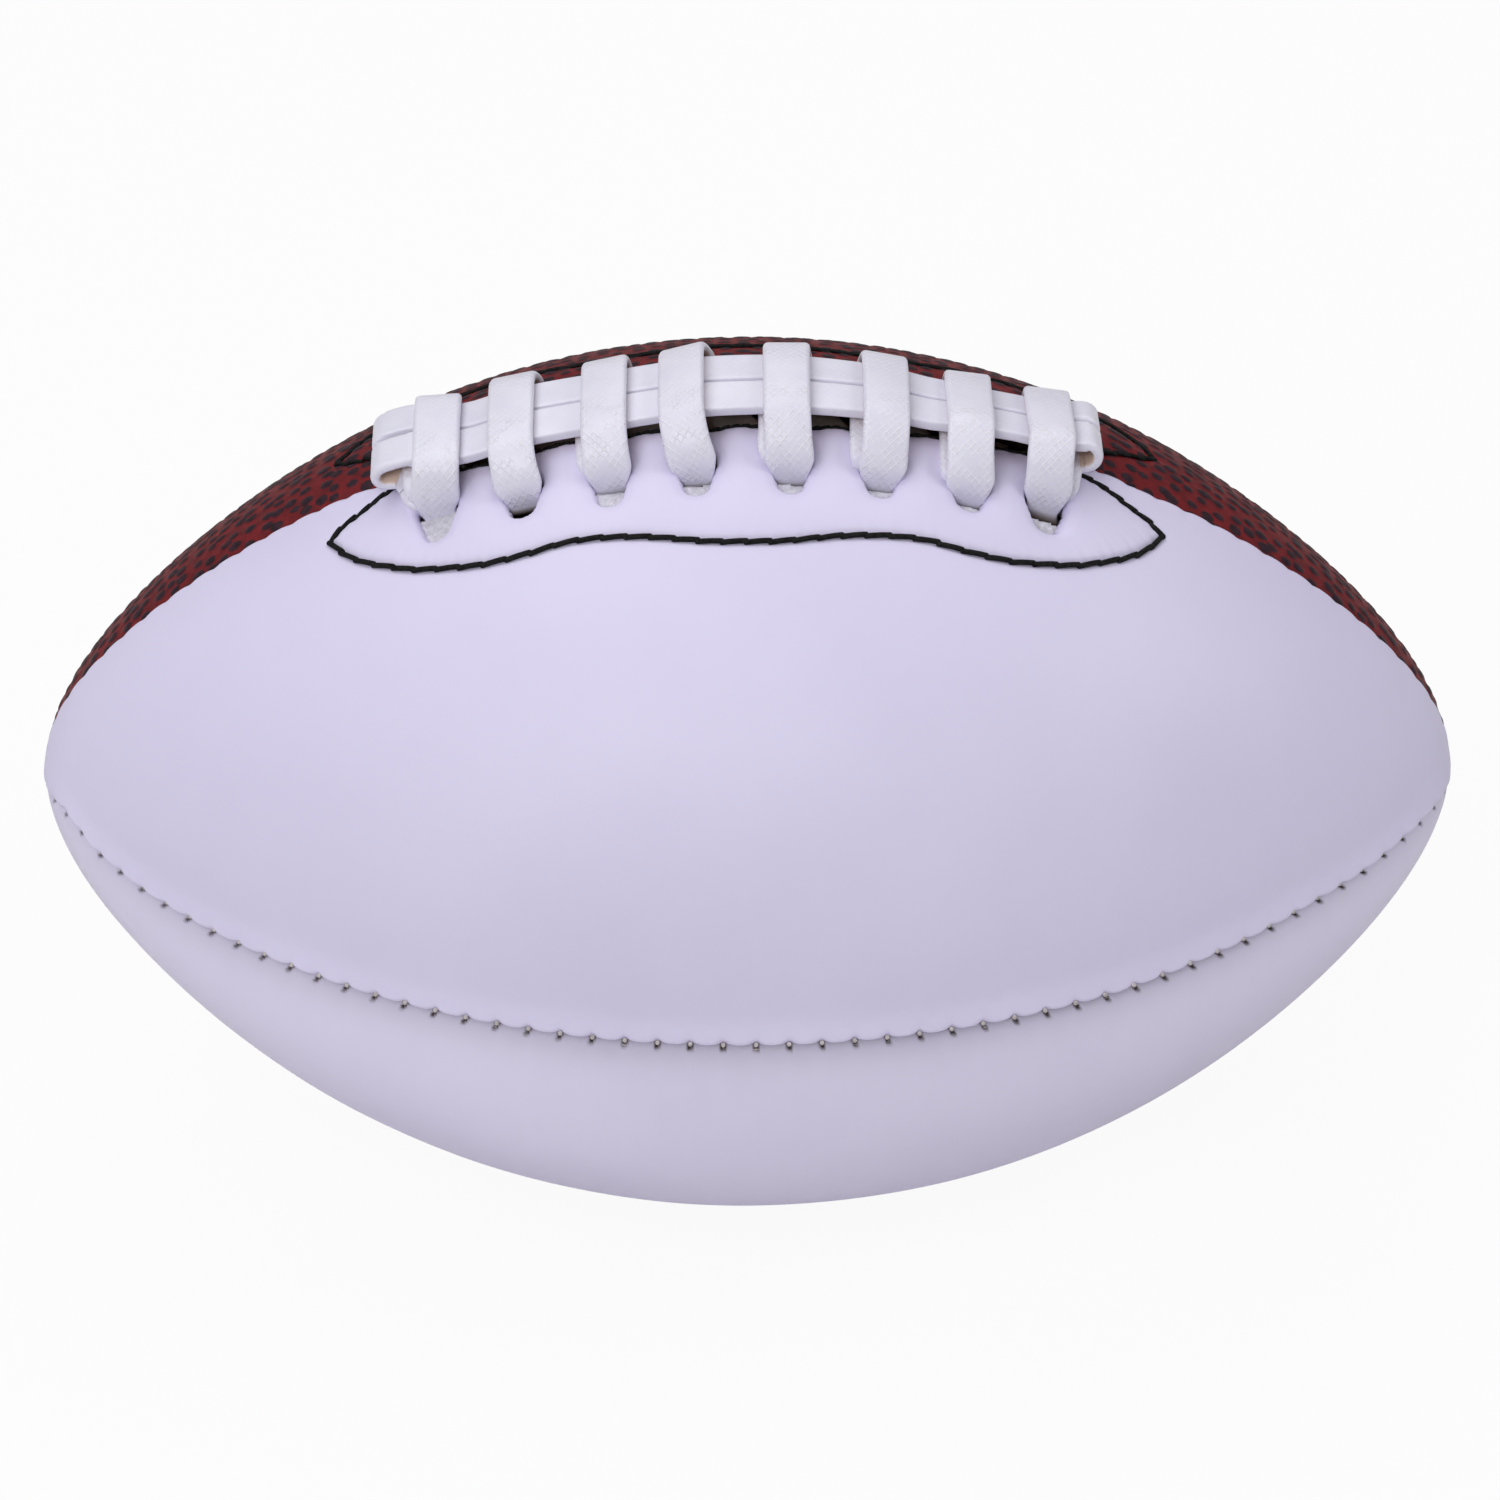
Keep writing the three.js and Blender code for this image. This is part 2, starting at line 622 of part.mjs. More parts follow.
// Sweeps the flat lace along its route
function lace() {
  const route = laceRoute();
  const curve = new THREE.CatmullRomCurve3(
    route.map((p) => lacePoint(p.x, p.across, p.height)), false, 'centripetal');
  const half = LACE_WIDTH / 2;
  const flat = half - LACE_BEVEL;
  const thick = LACE_THICKNESS / 2;
  const section = [[-half, 0], [-flat, -thick], [flat, -thick], [half, 0], [flat, thick], [-flat, thick]];
  const loops = route.map((p, i) => {
    const centre = curve.points[i];
    const tangent = curve.getTangent(i / (route.length - 1));
    const along = lacePoint(p.x + 0.5, p.across, p.height).sub(lacePoint(p.x - 0.5, p.across, p.height));
    const across = lacePoint(p.x, p.across + 0.5, p.height).sub(lacePoint(p.x, p.across - 0.5, p.height));
    const wide = along.normalize().multiplyScalar(Math.cos(p.turn))
      .addScaledVector(across.normalize(), Math.sin(p.turn));
    wide.addScaledVector(tangent, -wide.dot(tangent)).normalize();
    const deep = new THREE.Vector3().crossVectors(tangent, wide);
    return section.map(([w, t]) => centre.clone().addScaledVector(wide, w).addScaledVector(deep, t));
  });
  return loft(loops, section.map((p) => new THREE.Vector2(...p)));
}

// Materials
const whiteCover = { color: 0xd9d3ea, roughness: 0.45 };
const brownCover = { color: 0x6a2a24, roughness: 0.6 };
const laceWhite = { color: 0xe6e3e2, roughness: 0.4 };
const cloth = { color: 0xcfcac2, roughness: 0.9 };
const darkFelt = { color: 0x1d1a18, roughness: 0.95 };
const rubber = { color: 0x23211f, roughness: 0.7 };
const blackThread = { color: 0x141414, roughness: 0.8 };
const greyThread = { color: 0x8d8378, roughness: 0.8 };

function piece(name, geometry, look) {
  const mesh = new THREE.Mesh(geometry, new THREE.MeshStandardMaterial({ ...look, metalness: 0 }));
  mesh.name = name;
  return mesh;
}

const ball = new THREE.Group();
const cover = new THREE.Group();
const lacing = new THREE.Group();
const inner = new THREE.Group();
ball.add(cover, lacing, inner);

// The four quarters of the ball, and which of their two edges lie on the lace seam
const front = { start: 0, onLaceSeam: [true, false] };
const frontLower = { start: RIGHT_ANGLE, onLaceSeam: [false, false] };
const rearLower = { start: 2 * RIGHT_ANGLE, onLaceSeam: [false, false] };
const rear = { start: 3 * RIGHT_ANGLE, onLaceSeam: [false, true] };

const valveHole = () => valveBore(VALVE_PLUG / 2 + SEAT_GAP);
const rearHoles = [...holesOn(-1, true), valveHole()];

cover.add(
  piece('panel_white_front', cut(panel(front), holesOn(1, true)), whiteCover),
  piece('panel_white_lower', panel(frontLower), whiteCover),
  piece('panel_brown_lower', panel(rearLower), brownCover),
  piece('panel_brown_rear', cut(panel(rear), rearHoles), brownCover),
);

const threadEnd = THREAD_END_ANGLE * DEGREES;
const slitEnd = stationAt(SLIT_LENGTH / 2);
cover.add(
  piece('seam_thread_front', seamThread(RIGHT_ANGLE, -threadEnd, threadEnd, THREAD_STEPS), greyThread),
  piece('seam_thread_bottom', seamThread(2 * RIGHT_ANGLE, -threadEnd, threadEnd, THREAD_STEPS), greyThread),
  piece('seam_thread_rear', seamThread(3 * RIGHT_ANGLE, -threadEnd, threadEnd, THREAD_STEPS), greyThread),
  piece('seam_thread_lace_left', seamThread(0, -threadEnd, -slitEnd, THREAD_STEPS / 2), greyThread),
  piece('seam_thread_lace_right', seamThread(0, slitEnd, threadEnd, THREAD_STEPS / 2), greyThread),
);

inner.add(
  piece('lining_white_front', cut(lining(front), [liningWindow(1)]), cloth),
  piece('lining_white_lower', lining(frontLower), cloth),
  piece('lining_brown_lower', lining(rearLower), cloth),
  piece('lining_brown_rear', cut(lining(rear), [liningWindow(-1), valveHole()]), cloth),
  piece('bladder', bladder(), rubber),
  piece('valve', valve(), rubber),
);

lacing.add(
  piece('lace', lace(), laceWhite),
  piece('tongue', tongue(), darkFelt),
  piece('facing_front', cut(facing(1), holesOn(1, false)), cloth),
  piece('facing_rear', cut(facing(-1), holesOn(-1, false)), cloth),
  piece('facing_thread_front', facingThread(1), blackThread),
  piece('facing_thread_rear', facingThread(-1), blackThread),
  piece('lip_thread_front', lipThread(1), blackThread),
  piece('lip_thread_rear', lipThread(-1), blackThread),
);

export default ball;
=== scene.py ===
import math

import bpy
import numpy as np
from mathutils import Matrix, Vector
from mathutils.kdtree import KDTree


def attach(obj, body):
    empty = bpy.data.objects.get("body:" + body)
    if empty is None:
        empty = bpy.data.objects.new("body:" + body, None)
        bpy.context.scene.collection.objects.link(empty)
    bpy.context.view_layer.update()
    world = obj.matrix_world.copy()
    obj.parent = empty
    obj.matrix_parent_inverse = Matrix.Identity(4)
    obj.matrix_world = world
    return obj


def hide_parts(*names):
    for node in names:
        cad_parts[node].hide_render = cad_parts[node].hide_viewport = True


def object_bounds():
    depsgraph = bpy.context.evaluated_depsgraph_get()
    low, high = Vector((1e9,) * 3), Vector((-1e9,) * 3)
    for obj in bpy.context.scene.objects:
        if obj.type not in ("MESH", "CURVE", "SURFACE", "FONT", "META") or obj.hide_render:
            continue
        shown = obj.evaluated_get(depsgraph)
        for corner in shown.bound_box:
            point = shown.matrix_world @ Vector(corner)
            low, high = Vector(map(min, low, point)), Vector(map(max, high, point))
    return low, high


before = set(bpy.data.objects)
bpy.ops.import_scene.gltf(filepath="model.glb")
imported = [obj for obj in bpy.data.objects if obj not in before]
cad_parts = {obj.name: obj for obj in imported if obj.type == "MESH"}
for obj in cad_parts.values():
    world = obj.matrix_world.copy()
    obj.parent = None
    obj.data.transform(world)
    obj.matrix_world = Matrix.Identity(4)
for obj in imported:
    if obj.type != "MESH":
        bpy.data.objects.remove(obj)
cad_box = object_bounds()

# Looks of an american football: sewn leather cover, threaded lace, stitches and studio.
# Sizes are in millimetres and turn into metres when a mesh is made. The origin is the middle of the
# ball, +X runs tip to tip and +Z points at the lacing. A place on the ball is a station angle along its
# length, an angle round it from the lace seam towards the front, and a height above the cover.
MM = 0.001
QUARTER = math.pi / 2
FAR = 99.0

# Ball outline
LENGTH = 277.0
DIAMETER = 172.0
SHOULDER_TAPER = 0.16
NOSE_TAPER = 0.12
TIP_STATION = math.radians(89.6)
TIP_BEND = {-1: 1.5, 1: 0.9}
BEND_START = 70.0

# Cover
PANEL_THICKNESS = 1.3
WALL_SHARE = 0.3
SKIN_GAP = 0.08
SEAM_FLANGE = 2.2
SEAM_ROLL = 1.5
FRONT_ROLL = 1.3
SEAM_VALLEY = 0.8
FRONT_VALLEY = 1.7
VALLEY_REACH = 18.0
LOWER_BULGE = 1.5
BULGE_PLACE = 35.0
BULGE_REACH = 18.0
SEAM_PITCH = 6.24
SEAM_PHASE = 1.3
SEAM_SCALLOP = 0.42
SCALLOP_MIDDLE = 0.6
LACE_SCALLOP = 0.55
SEAM_DRIFT = (
    (-138.5, 12.4), (-133.5, 12.4), (-127, 3.4), (-117, 0.5), (-105, 0.0),
    (70, 0.0), (81, 0.4), (96, 1.1), (108, 2.1), (120, 2.8), (134, 6.7), (138.5, 6.7),
)
# Painted shadow on the lower panel under the front panel's lip, darkest at the seam, and its reach
PAINTED_SEAM_SHADOW = 0.34
SEAM_SHADOW_REACH = 5.2
# Spots at the needle holes, dented and painted darker as painted shade in the holes
HOLE_SPOT_WIDTH = 0.5
HOLE_SPOT_PLACE = 1.8
HOLE_SPOT_REACH = 1.05
HOLE_SHADE_SHARE = 1.3
PIT_DEPTH = 0.6
PEBBLE_PITCH = 3.9
PEBBLE_ROWS = 0.87
PEBBLE_JITTER = 0.24
PEBBLE_RADIUS = 1.5
PEBBLE_SIZES = (0.82, 1.14)
PEBBLE_HEIGHT = 0.22
PEBBLE_EDGE = (0.3, 2.5)
EDGE_PEBBLES = 0.35
PEBBLE_SEED = 7
LEAST_RADIUS = 4.0
BROWN_SINK = 0.55
SINK_REACH = (8.0, 34.0)

# Swell beside each seam, its reach, and the tug of each stitch
LACE_SEAM = (0.9, 14.0, 0.25)
FRONT_SEAM = (1.9, 3.4, 0.5)
UNDER_SEAM = (-0.6, 2.6, 0.0)
BOTTOM_SEAM = (0.1, 3.0, 0.3)
BROWN_SEAM = (-0.3, 4.0, 0.3)
TUG_LENGTH = 1.1
TUG_REACH = 2.4

# Radius of the ball below which each relief fades towards the tips
SCALLOP_FADE = 50.0
SEAM_FADE = 22.0
FLANGE_FADE = 30.0
HOLE_SPOT_FADE = 18.0
LEAST_FADE = 0.02
LEAST_FLANGE = 0.05

# Grid of the cover: distances from a seam, reach of the fine columns, and cells in a face below
EDGE_ROWS = np.array([0, 0.05, 0.15, 0.32, 0.55, 0.8, 1.05, 1.3, 1.6, 1.9, 2.2, 2.6, 3.1, 3.6, 4.2])
LEAST_STRETCH = 0.1
FINE_REACH = 92.0
BOTTOM_BLOCK = 6

# Lacing slit, facing line and holes
SLIT_LENGTH = 134.0
SLIT_WIDTH = 13.2
SLIT_PULL = 1.0
PULL_PLACE = -50.5
PULL_REACH = 7.0
SLIT_OPEN = 0.6
BAND_OFFSET = -0.6
BAND_SLANT = -0.03
BAND_MARGIN = 8.0
FACING_OUTLINE = [
    (63.0, 3.2), (66.5, 3.9), (70.4, 5.7), (73.4, 7.6), (77.0, 9.4), (79.7, 12.0), (76.2, 17.3),
    (72.5, 21.0), (68.0, 24.2), (62.5, 27.3), (56.0, 29.5), (50.3, 30.8), (45.0, 31.1), (40.0, 30.9),
    (34.5, 30.3), (29.0, 30.4), (23.0, 31.0), (17.5, 31.8), (12.0, 32.8), (6.5, 33.6), (0.0, 33.8),
]
FACING_TIP = 5
CURVE_STEPS = 10
REAR_SHIFT = 4.0
REAR_SHIFT_START = (56.0, 72.0)
HOLE_PLACES = (-59.0, -42.6, -25.9, -9.4, 8.5, 25.6, 42.5, 57.3)
HOLE_REACH = (22.3, 22.4, 23.6, 22.9, 22.6, 21.9, 21.7, 22.1)
HOLE_TOP = 14.0
HOLE_TOP_RADIUS = 4.5
HOLE_BOTTOM_RADIUS = 3.0
HOLE_TRIM = -0.95

# Relief round the lacing, each form with its height or depth and its reach
LACING_AREA = (96.0, 48.0)
WHITE_PADDING = 1.1
BROWN_PADDING = 0.15
PADDING_REACH = 2.2
GROOVE = (0.55, 0.75)
HOLLOW = (0.06, 3.0)
CRIMP = (0.1, 1.8)
CRIMP_WAVES = ((2.3, 1.0, 0.0), (3.7, 0.7, 1.0))
HOLE_RIM = (0.55, 1.1)
HOLE_SAG = (0.5, 4.0)
HOLE_WALL = (1.9, 0.9)
PILLOW = (0.9, 4.0)
PILLOW_PLACE = 8.0
PILLOW_START = (-46.0, -40.0)
# Scallops and softness of the dark edge painted on the slit's lip, for its black binding and painted shade in
# the slit
LIP_SCALLOP = (0.35, 0.6)
LIP_SOFTNESS = 0.2
# Reach of the dark edge painted on the brown side's lip, for its black binding and painted shade in the slit
BROWN_LIP = (2.6, 1.6)

# Threads, and a seam stitch's two ends: distance from the seam, height at the tips, height at the middle
FACING_STITCH = 4.6
FACING_SLANT = math.radians(4.5)
SHORT_STITCH = 3.4
SHORT_SLANT = math.radians(10)
FACING_THREAD = {1: 1.05, -1: 0.84}
FACING_SINK = {1: -0.05, -1: -0.5}
FACING_OVERLAP = 1.1
LIP_STITCH = 1.9
LIP_SLANT = math.radians(14)
LIP_THREAD = 0.9
LIP_INSET = 0.4
LIP_LIFT = 0.15
LIP_OVERLAP = 0.5
LIP_PLACES = 80
THREAD_ARCH = 0.2
THREAD_SIDES = 10
SEAM_THREAD = 0.85
SEAM_ARCH = 0.3
STITCH_SLANT = 1.3
SEAM_END = math.radians(84)
SLIT_END = 4.0
FRONT_ENDS = (-0.6, -0.1, 0.1), (0.8, -0.2, -1.9)
SUNK_ENDS = (-0.75, -1.9, -1.9), (0.75, -1.9, -1.9)

# Felt facing, with the front holes by number where the felt starts or sinks otherwise
FELT_REACH = 77.0
FELT_STEP = 0.8
FELT_ROWS = 38
FELT_END = 2
FELT_LEVEL = -2.55
FELT_THICKNESS = 0.9
FELT_WAVE = 0.12
FELT_LIP = 2.2
FELT_SHARE = 0.36
FELT_HOLE = 0.6
FELT_RISE = 0.5
FELT_RISE_START = (1.0, -0.6)
FELT_START = {0: 0.3, 1: 9.0, 7: 3.2}
USUAL_START = 1.7
FELT_SINK = {7: 0.5}
FELT_SINK_START = (1.6, 0.4)

# Lace strip
LACE_WIDTH = 9.0
BAND_WIDTH = 8.6
LACE_THICKNESS = 2.0
LACE_GAP = 0.45
SEAT_GAP = 0.3
BAND_GAP = 0.12
LACE_CORNER = 0.9
BAND_CORNER = 0.4
LACE_BEND = 1.8
TAIL_LENGTH = 7.0
INNER_LACE = -5.0
DEEP_LACE = INNER_LACE - LACE_THICKNESS - LACE_GAP

# Rows where the lace enters its holes, and where it lies double, by hole or by end of the ball
LACE_ROW = 16.6
END_ROW = 13.4
LOOP_ROW = 10.8
STRAP_ROW = 11.3
DOUBLED = (2, 4, 5, 6)
DOUBLE_SHIFT = -1.7
STRAP_SHIFT = {-1: -0.6, 1: 1.1}
STRAP_LEAN = {-1: 0.1, 1: 0.2}

# Band of two strands, with its roll in degrees and its rise at places along the ball
BAND_ROLL = ((0, 0.0), (32, 4.0), (47, 9.5), (56, 8.0), (66, 6.0))
BAND_RISE = (
    (-66, 3.3), (-60.5, 2.9), (-56.6, 0.8), (-52.5, -0.3), (-42.6, 0.2), (-25.9, -0.1), (-17, 0.4),
    (-9.4, 1.1), (8.5, 1.2), (25.6, 0.5), (34, -0.4), (42.5, -0.2), (49.6, 0.3), (53.7, 0.6),
    (58, 1.5), (63, 3.3),
)
SLOPE_STEP = 2.0
STRAND_ENDS = {-1: -2.0, 1: 1.5}

# Cross-laces by hole, and the legs that go down into the holes
LEAN = (2.9, -0.1, 0.1, -2.2, -1.0, 0.0, -1.6, -2.1)
TOP_PITCH = (0.06, -0.05, 0.08, 0.14, 0.04, 0.0, 0.1, 0.04)
CROWN = 0.15
FRONT_LEG = (-0.2, 2.8)
REAR_LEG = (1.0, -1.0)
STRAP_LEG = (-1.8, 0.9)
STRAP_START = (8.0, 5.0)
LEG_DIP = 0.1
LEG_FALL = 0.55
LEG_END = -0.5
HIDDEN_ENDS = (-2.5, -4.2)

# End loops, and their shifts by end of the ball
LOOP_RADIUS = 1.95
END_LOOP = 2.1
LOOP_LIFT = 3.0
LOOP_TURN = 4.6
LOOP_INSET = 0.3
LOOP_BEND = 1.5
LOOP_SLACK = 0.4
LOOP_START = -50.0
TURN_PLACES = 5
END_SHIFT = {-1: 2.4, 1: 0.7}
END_HOLE_SHIFT = {-1: 0.8, 1: 1.4}

# Width and marks of the lace where it enters a hole
PINCHED_WIDTH = 6.3
LEG_START = (9.0, 10.6)
PINCH_TOP = (2.3, -1.8)
PINCH_BOTTOM = (-4.6, -2.0)
LEG_BULGE = (0.3, 1.7)
LEG_BULGE_HEIGHT = 2.8
EDGE_CURL = 0.9
# The hatch's ridges are bumped and also painted lighter, as painted highlights
HATCH_PITCH = 1.6
LEAST_HATCH = 0.2
HATCH_START = (0.0, 7.0)
INNER_FACE = -0.6
BACK_SHARE = 0.9
# Depths over which the lace inside the ball is painted darker, as painted shade
HIDDEN_DEPTH = (-2.2, -3.6)

# Kinds of run along the lace, and the step of its mesh on each
INSIDE, TURN, CROSS, BAND, LOOP = range(5)
LACE_STEPS = (1.6, 0.7, 0.45, 0.8, 0.6)

# Valve
VALVE_ANGLE = math.radians(-58)
VALVE_PLUG = 8.0
VALVE_FLANGE = 18.0
VALVE_LENGTH = 16.0
VALVE_NOZZLE = 5.6
VALVE_SIDES = 48
NEEDLE_BORE = 2.4
VALVE_RIM = 0.25
VALVE_RIM_ROLL = 0.9
VALVE_WALL = 1.6
VALVE_TRIM = -0.4

# Camera, as the photo's frame of 1500 pixels shows the ball
CAMERA_DISTANCE = 1500.0
CAMERA_ELEVATION = math.radians(37.5)
CAMERA_ROLL = math.radians(-0.35)
CAMERA_LENS = 182.0
CAMERA_SENSOR = 36.0
CAMERA_CLIP = 100.0
BALL_OFFSET = (0.5, 3.96)

# Studio in metres: name, place, size and power of each lamp, and the plain surroundings
LAMPS = (
    ("key", (-0.45, 0.5, 1.4), (3.0, 1.4), 14.5),
    ("front", (-0.55, -1.3, 1.3), (1.4, 1.0), 15.8),
    ("right", (1.5, -0.1, 1.2), (1.0, 1.0), 8.0),
)
FLOOR_SIZE = 6.0
FLOOR_GAP = 0.0005
FLOOR_WHITE = 0.93
WORLD_LIGHT = 0.2

half_length = LENGTH / 2
last_hole = len(HOLE_PLACES) - 1
under_height = LACE_THICKNESS / 2 + SEAT_GAP
band_height = under_height + 2 * LOOP_RADIUS
over_lift = LACE_THICKNESS + LACE_GAP
strand_side = (BAND_WIDTH + BAND_GAP) / 2
band_side = BAND_WIDTH + BAND_GAP / 2
quarter_arc = DIAMETER / 2 * QUARTER


# Places on the ball
def outline(station):
    """Place along the ball, radius there, and the two parts of the surface's normal."""
    along = np.sin(station)
    across = np.cos(station)
    taper = 1 - SHOULDER_TAPER * along ** 2 - NOSE_TAPER * along ** 4
    taper_slope = -2 * SHOULDER_TAPER * along - 4 * NOSE_TAPER * along ** 3
    slope = DIAMETER / 2 * (taper_slope * across ** 2 - along * taper)
    size = np.hypot(half_length * across, slope)
    return half_length * along, DIAMETER / 2 * across * taper, -slope / size, half_length * across / size


def tip_bend(x):
    """How far the ball's ends are drawn up towards the lacing."""
    past = np.clip((np.abs(x) - BEND_START) / (half_length - BEND_START), 0, 1)
    return np.where(x < 0, TIP_BEND[-1], TIP_BEND[1]) * past ** 2


def ball_point(station, angle, height):
    x, radius, normal_x, normal_r = outline(station)
    reach = radius + height * normal_r
    up = reach * np.cos(angle) + tip_bend(x)
    return np.stack([x + height * normal_x, -reach * np.sin(angle), up], axis=-1)


def station_at(x):
    return np.arcsin(np.asarray(x, float) / half_length)


def lace_point(x, across, height):
    station = station_at(x)
    return ball_point(station, np.asarray(across, float) / outline(station)[1], np.asarray(height, float))


def lengths_along(line):
    """How far along a line of places each of them lies."""
    return np.concatenate([[0], np.cumsum(np.linalg.norm(np.diff(line, axis=0), axis=1))])


STATION_TABLE = np.linspace(-QUARTER, QUARTER, 4001)
ARC_TABLE = lengths_along(np.stack(outline(STATION_TABLE)[:2], 1))
ARC_TABLE -= ARC_TABLE[-1] / 2

valve_seat = ball_point(0.0, VALVE_ANGLE, 0.0)
valve_outward = ball_point(0.0, VALVE_ANGLE, 1.0) - valve_seat


def arc_at(station):
    return np.interp(station, STATION_TABLE, ARC_TABLE)


def station_at_arc(arc):
    return np.interp(arc, ARC_TABLE, STATION_TABLE)


def smoothstep(low, high, value):
    t = np.clip((value - low) / (high - low), 0, 1)
    return t * t * (3 - 2 * t)


def hump(height, reach, distance):
    """A rounded rise that fades with the distance from its middle."""
    return height * np.exp(-(distance / reach) ** 2)


def tip_fade(station, radius, least=0.0):
    """A share that falls towards the tips, where the ball is thinner than a radius."""
    return np.clip(outline(station)[1] / radius, least, 1)


def fullness(station):
    """The ball's thickness at a station, as a share of that at its middle."""
    return tip_fade(station, DIAMETER / 2, LEAST_FADE)


def band_offset(x):
    """How far the slit and the band over it lie off the middle of the lacing."""
    inside = np.clip(1 - (x / (SLIT_LENGTH / 2 + BAND_MARGIN)) ** 2, 0, 1) ** 0.5
    return (BAND_OFFSET + BAND_SLANT * x) * inside


def band_rise(x):
    return np.interp(x, *zip(*BAND_RISE))


def band_slope(x):
    return (band_rise(x + SLOPE_STEP) - band_rise(x - SLOPE_STEP)) / (2 * SLOPE_STEP)


def band_roll(x):
    """How far the band is rolled back towards its right end."""
    return np.radians(np.interp(x, *zip(*BAND_ROLL)))


def lace_row(index):
    return END_ROW if index in (0, last_hole) else LACE_ROW


def end_place(end):
    return HOLE_PLACES[0 if end < 0 else last_hole]


def carried_on(points):
    """The points with one more past each end, in line with the last two there."""
    return np.concatenate([[2 * points[0] - points[1]], points, [2 * points[-1] - points[-2]]])


def curve_through(points):
    """Samples a smooth curve through the points."""
    path = carried_on(np.array(points))
    t = np.linspace(0, 1, CURVE_STEPS, endpoint=False)[:, None]
    spans = [0.5 * (2 * start + (end - before) * t + (2 * before - 5 * start + 4 * end - after) * t ** 2
                    + (3 * start - before - 3 * end + after) * t ** 3)
             for before, start, end, after in zip(path, path[1:], path[2:], path[3:])]
    return np.concatenate([*spans, path[-2:-1]])


# Meshes
def add_piece(name, points, faces, material, slot, node):
    mesh = bpy.data.meshes.new(name)
    mesh.from_pydata((np.asarray(points) * MM).tolist(), [], faces)
    mesh.materials.append(material)
    mesh.polygons.foreach_set("use_smooth", [True] * len(mesh.polygons))
    mesh.update()
    piece = bpy.data.objects.new(name, mesh)
    bpy.context.scene.collection.objects.link(piece)
    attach(piece, "root")
    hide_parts(node)
    return piece


def add_values(piece, name, values):
    values = np.asarray(values, float)
    kind = "FLOAT" if values.ndim == 1 else "FLOAT_VECTOR"
    layer = piece.data.attributes.new(name, kind, "POINT")
    layer.data.foreach_set("value" if values.ndim == 1 else "vector", values.ravel())


# Sides of a grid cell: the step to the next cell, and the cell's two corners on that side
CELL_SIDES = (
    ((-1, 0), (0, 0), (0, 1)),
    ((0, 1), (0, 1), (1, 1)),
    ((1, 0), (1, 1), (1, 0)),
    ((0, -1), (1, 0), (0, 0)),
)


def slab_walls(keep, corner):
    """Faces from the top to the bottom, wherever a kept cell has no kept neighbour."""
    rows, columns = keep.shape
    padded = np.pad(keep, 1)
    faces = []
    for (down, right), first, last in CELL_SIDES:
        neighbour = padded[1 + down:rows + 1 + down, 1 + right:columns + 1 + right]
        for cell in np.argwhere(keep & ~neighbour):
            start = int(corner[tuple(cell + first)])
            end = int(corner[tuple(cell + last)])
            faces.append([end, start, start + corner.size, end + corner.size])
    return faces


def slab_bottom(keep, corner, block):
    """One face for each block of whole cells, with extra corners where a finer face meets it."""
    row_cuts, column_cuts = ([*range(0, count, block), count] for count in keep.shape)
    whole = {(row, column): keep[top:bottom, left:right].all()
             for row, (top, bottom) in enumerate(zip(row_cuts, row_cuts[1:]))
             for column, (left, right) in enumerate(zip(column_cuts, column_cuts[1:]))}
    loops = []
    for (row, column), full in whole.items():
        top, bottom = row_cuts[row:row + 2]
        left, right = column_cuts[column:column + 2]
        if not full:
            for i, j in np.argwhere(keep[top:bottom, left:right]) + (top, left):
                loops.append([corner[i, j], corner[i + 1, j], corner[i + 1, j + 1], corner[i, j + 1]])
            continue
        sides = (
            (whole.get((row, column - 1)), corner[top:bottom, left]),
            (whole.get((row + 1, column)), corner[bottom, left:right]),
            (whole.get((row, column + 1)), corner[bottom:top:-1, right]),
            (whole.get((row - 1, column)), corner[top, right:left:-1]),
        )
        loops.append([point for plain, side in sides for point in (side[:1] if plain else side)])
    return [[int(point) + corner.size for point in loop] for loop in loops]


def slab(top, bottom, keep_point, block):
    """A closed sheet between two grids of points, of the cells that have all four corners kept.

    Returns the points, the faces and the grid index of each point.
    """
    keep = keep_point[:-1, :-1] & keep_point[1:, :-1] & keep_point[:-1, 1:] & keep_point[1:, 1:]
    corner = np.arange(keep_point.size).reshape(keep_point.shape)
    i, j = np.nonzero(keep)
    faces = np.stack([corner[i, j], corner[i, j + 1], corner[i + 1, j + 1], corner[i + 1, j]], 1).tolist()
    faces += slab_walls(keep, corner) + slab_bottom(keep, corner, block)
    points = np.concatenate([top.reshape(-1, 3), bottom.reshape(-1, 3)])
    used = np.unique(np.concatenate([np.asarray(face) for face in faces]))
    renumber = np.zeros(len(points), int)
    renumber[used] = np.arange(len(used))
    return points[used], [renumber[face].tolist() for face in faces], used % corner.size


def loft(rings):
    """Points and faces of a tube through rings of equal count, with flat ends."""
    rows, count = rings.shape[:2]
    index = np.arange(rows * count).reshape(rows, count)
    turned = np.roll(index, -1, axis=1)
    faces = np.stack([index[:-1], turned[:-1], turned[1:], index[1:]], -1).reshape(-1, 4).tolist()
    faces.append(index[0, ::-1].tolist())
    faces.append(index[-1].tolist())
    return rings.reshape(-1, 3), faces


def joined(parts):
    """Several meshes as one."""
    points = []
    faces = []
    start = 0
    for part_points, part_faces in parts:
        points.append(part_points)
        faces.extend([[v + start for v in face] for face in part_faces])
        start += len(part_points)
    return np.concatenate(points), faces


# Materials, with a mix node's colour sockets by number, as it repeats their names
MIX_FACTOR, MIX_FIRST, MIX_SECOND, MIX_RESULT = 0, 6, 7, 2
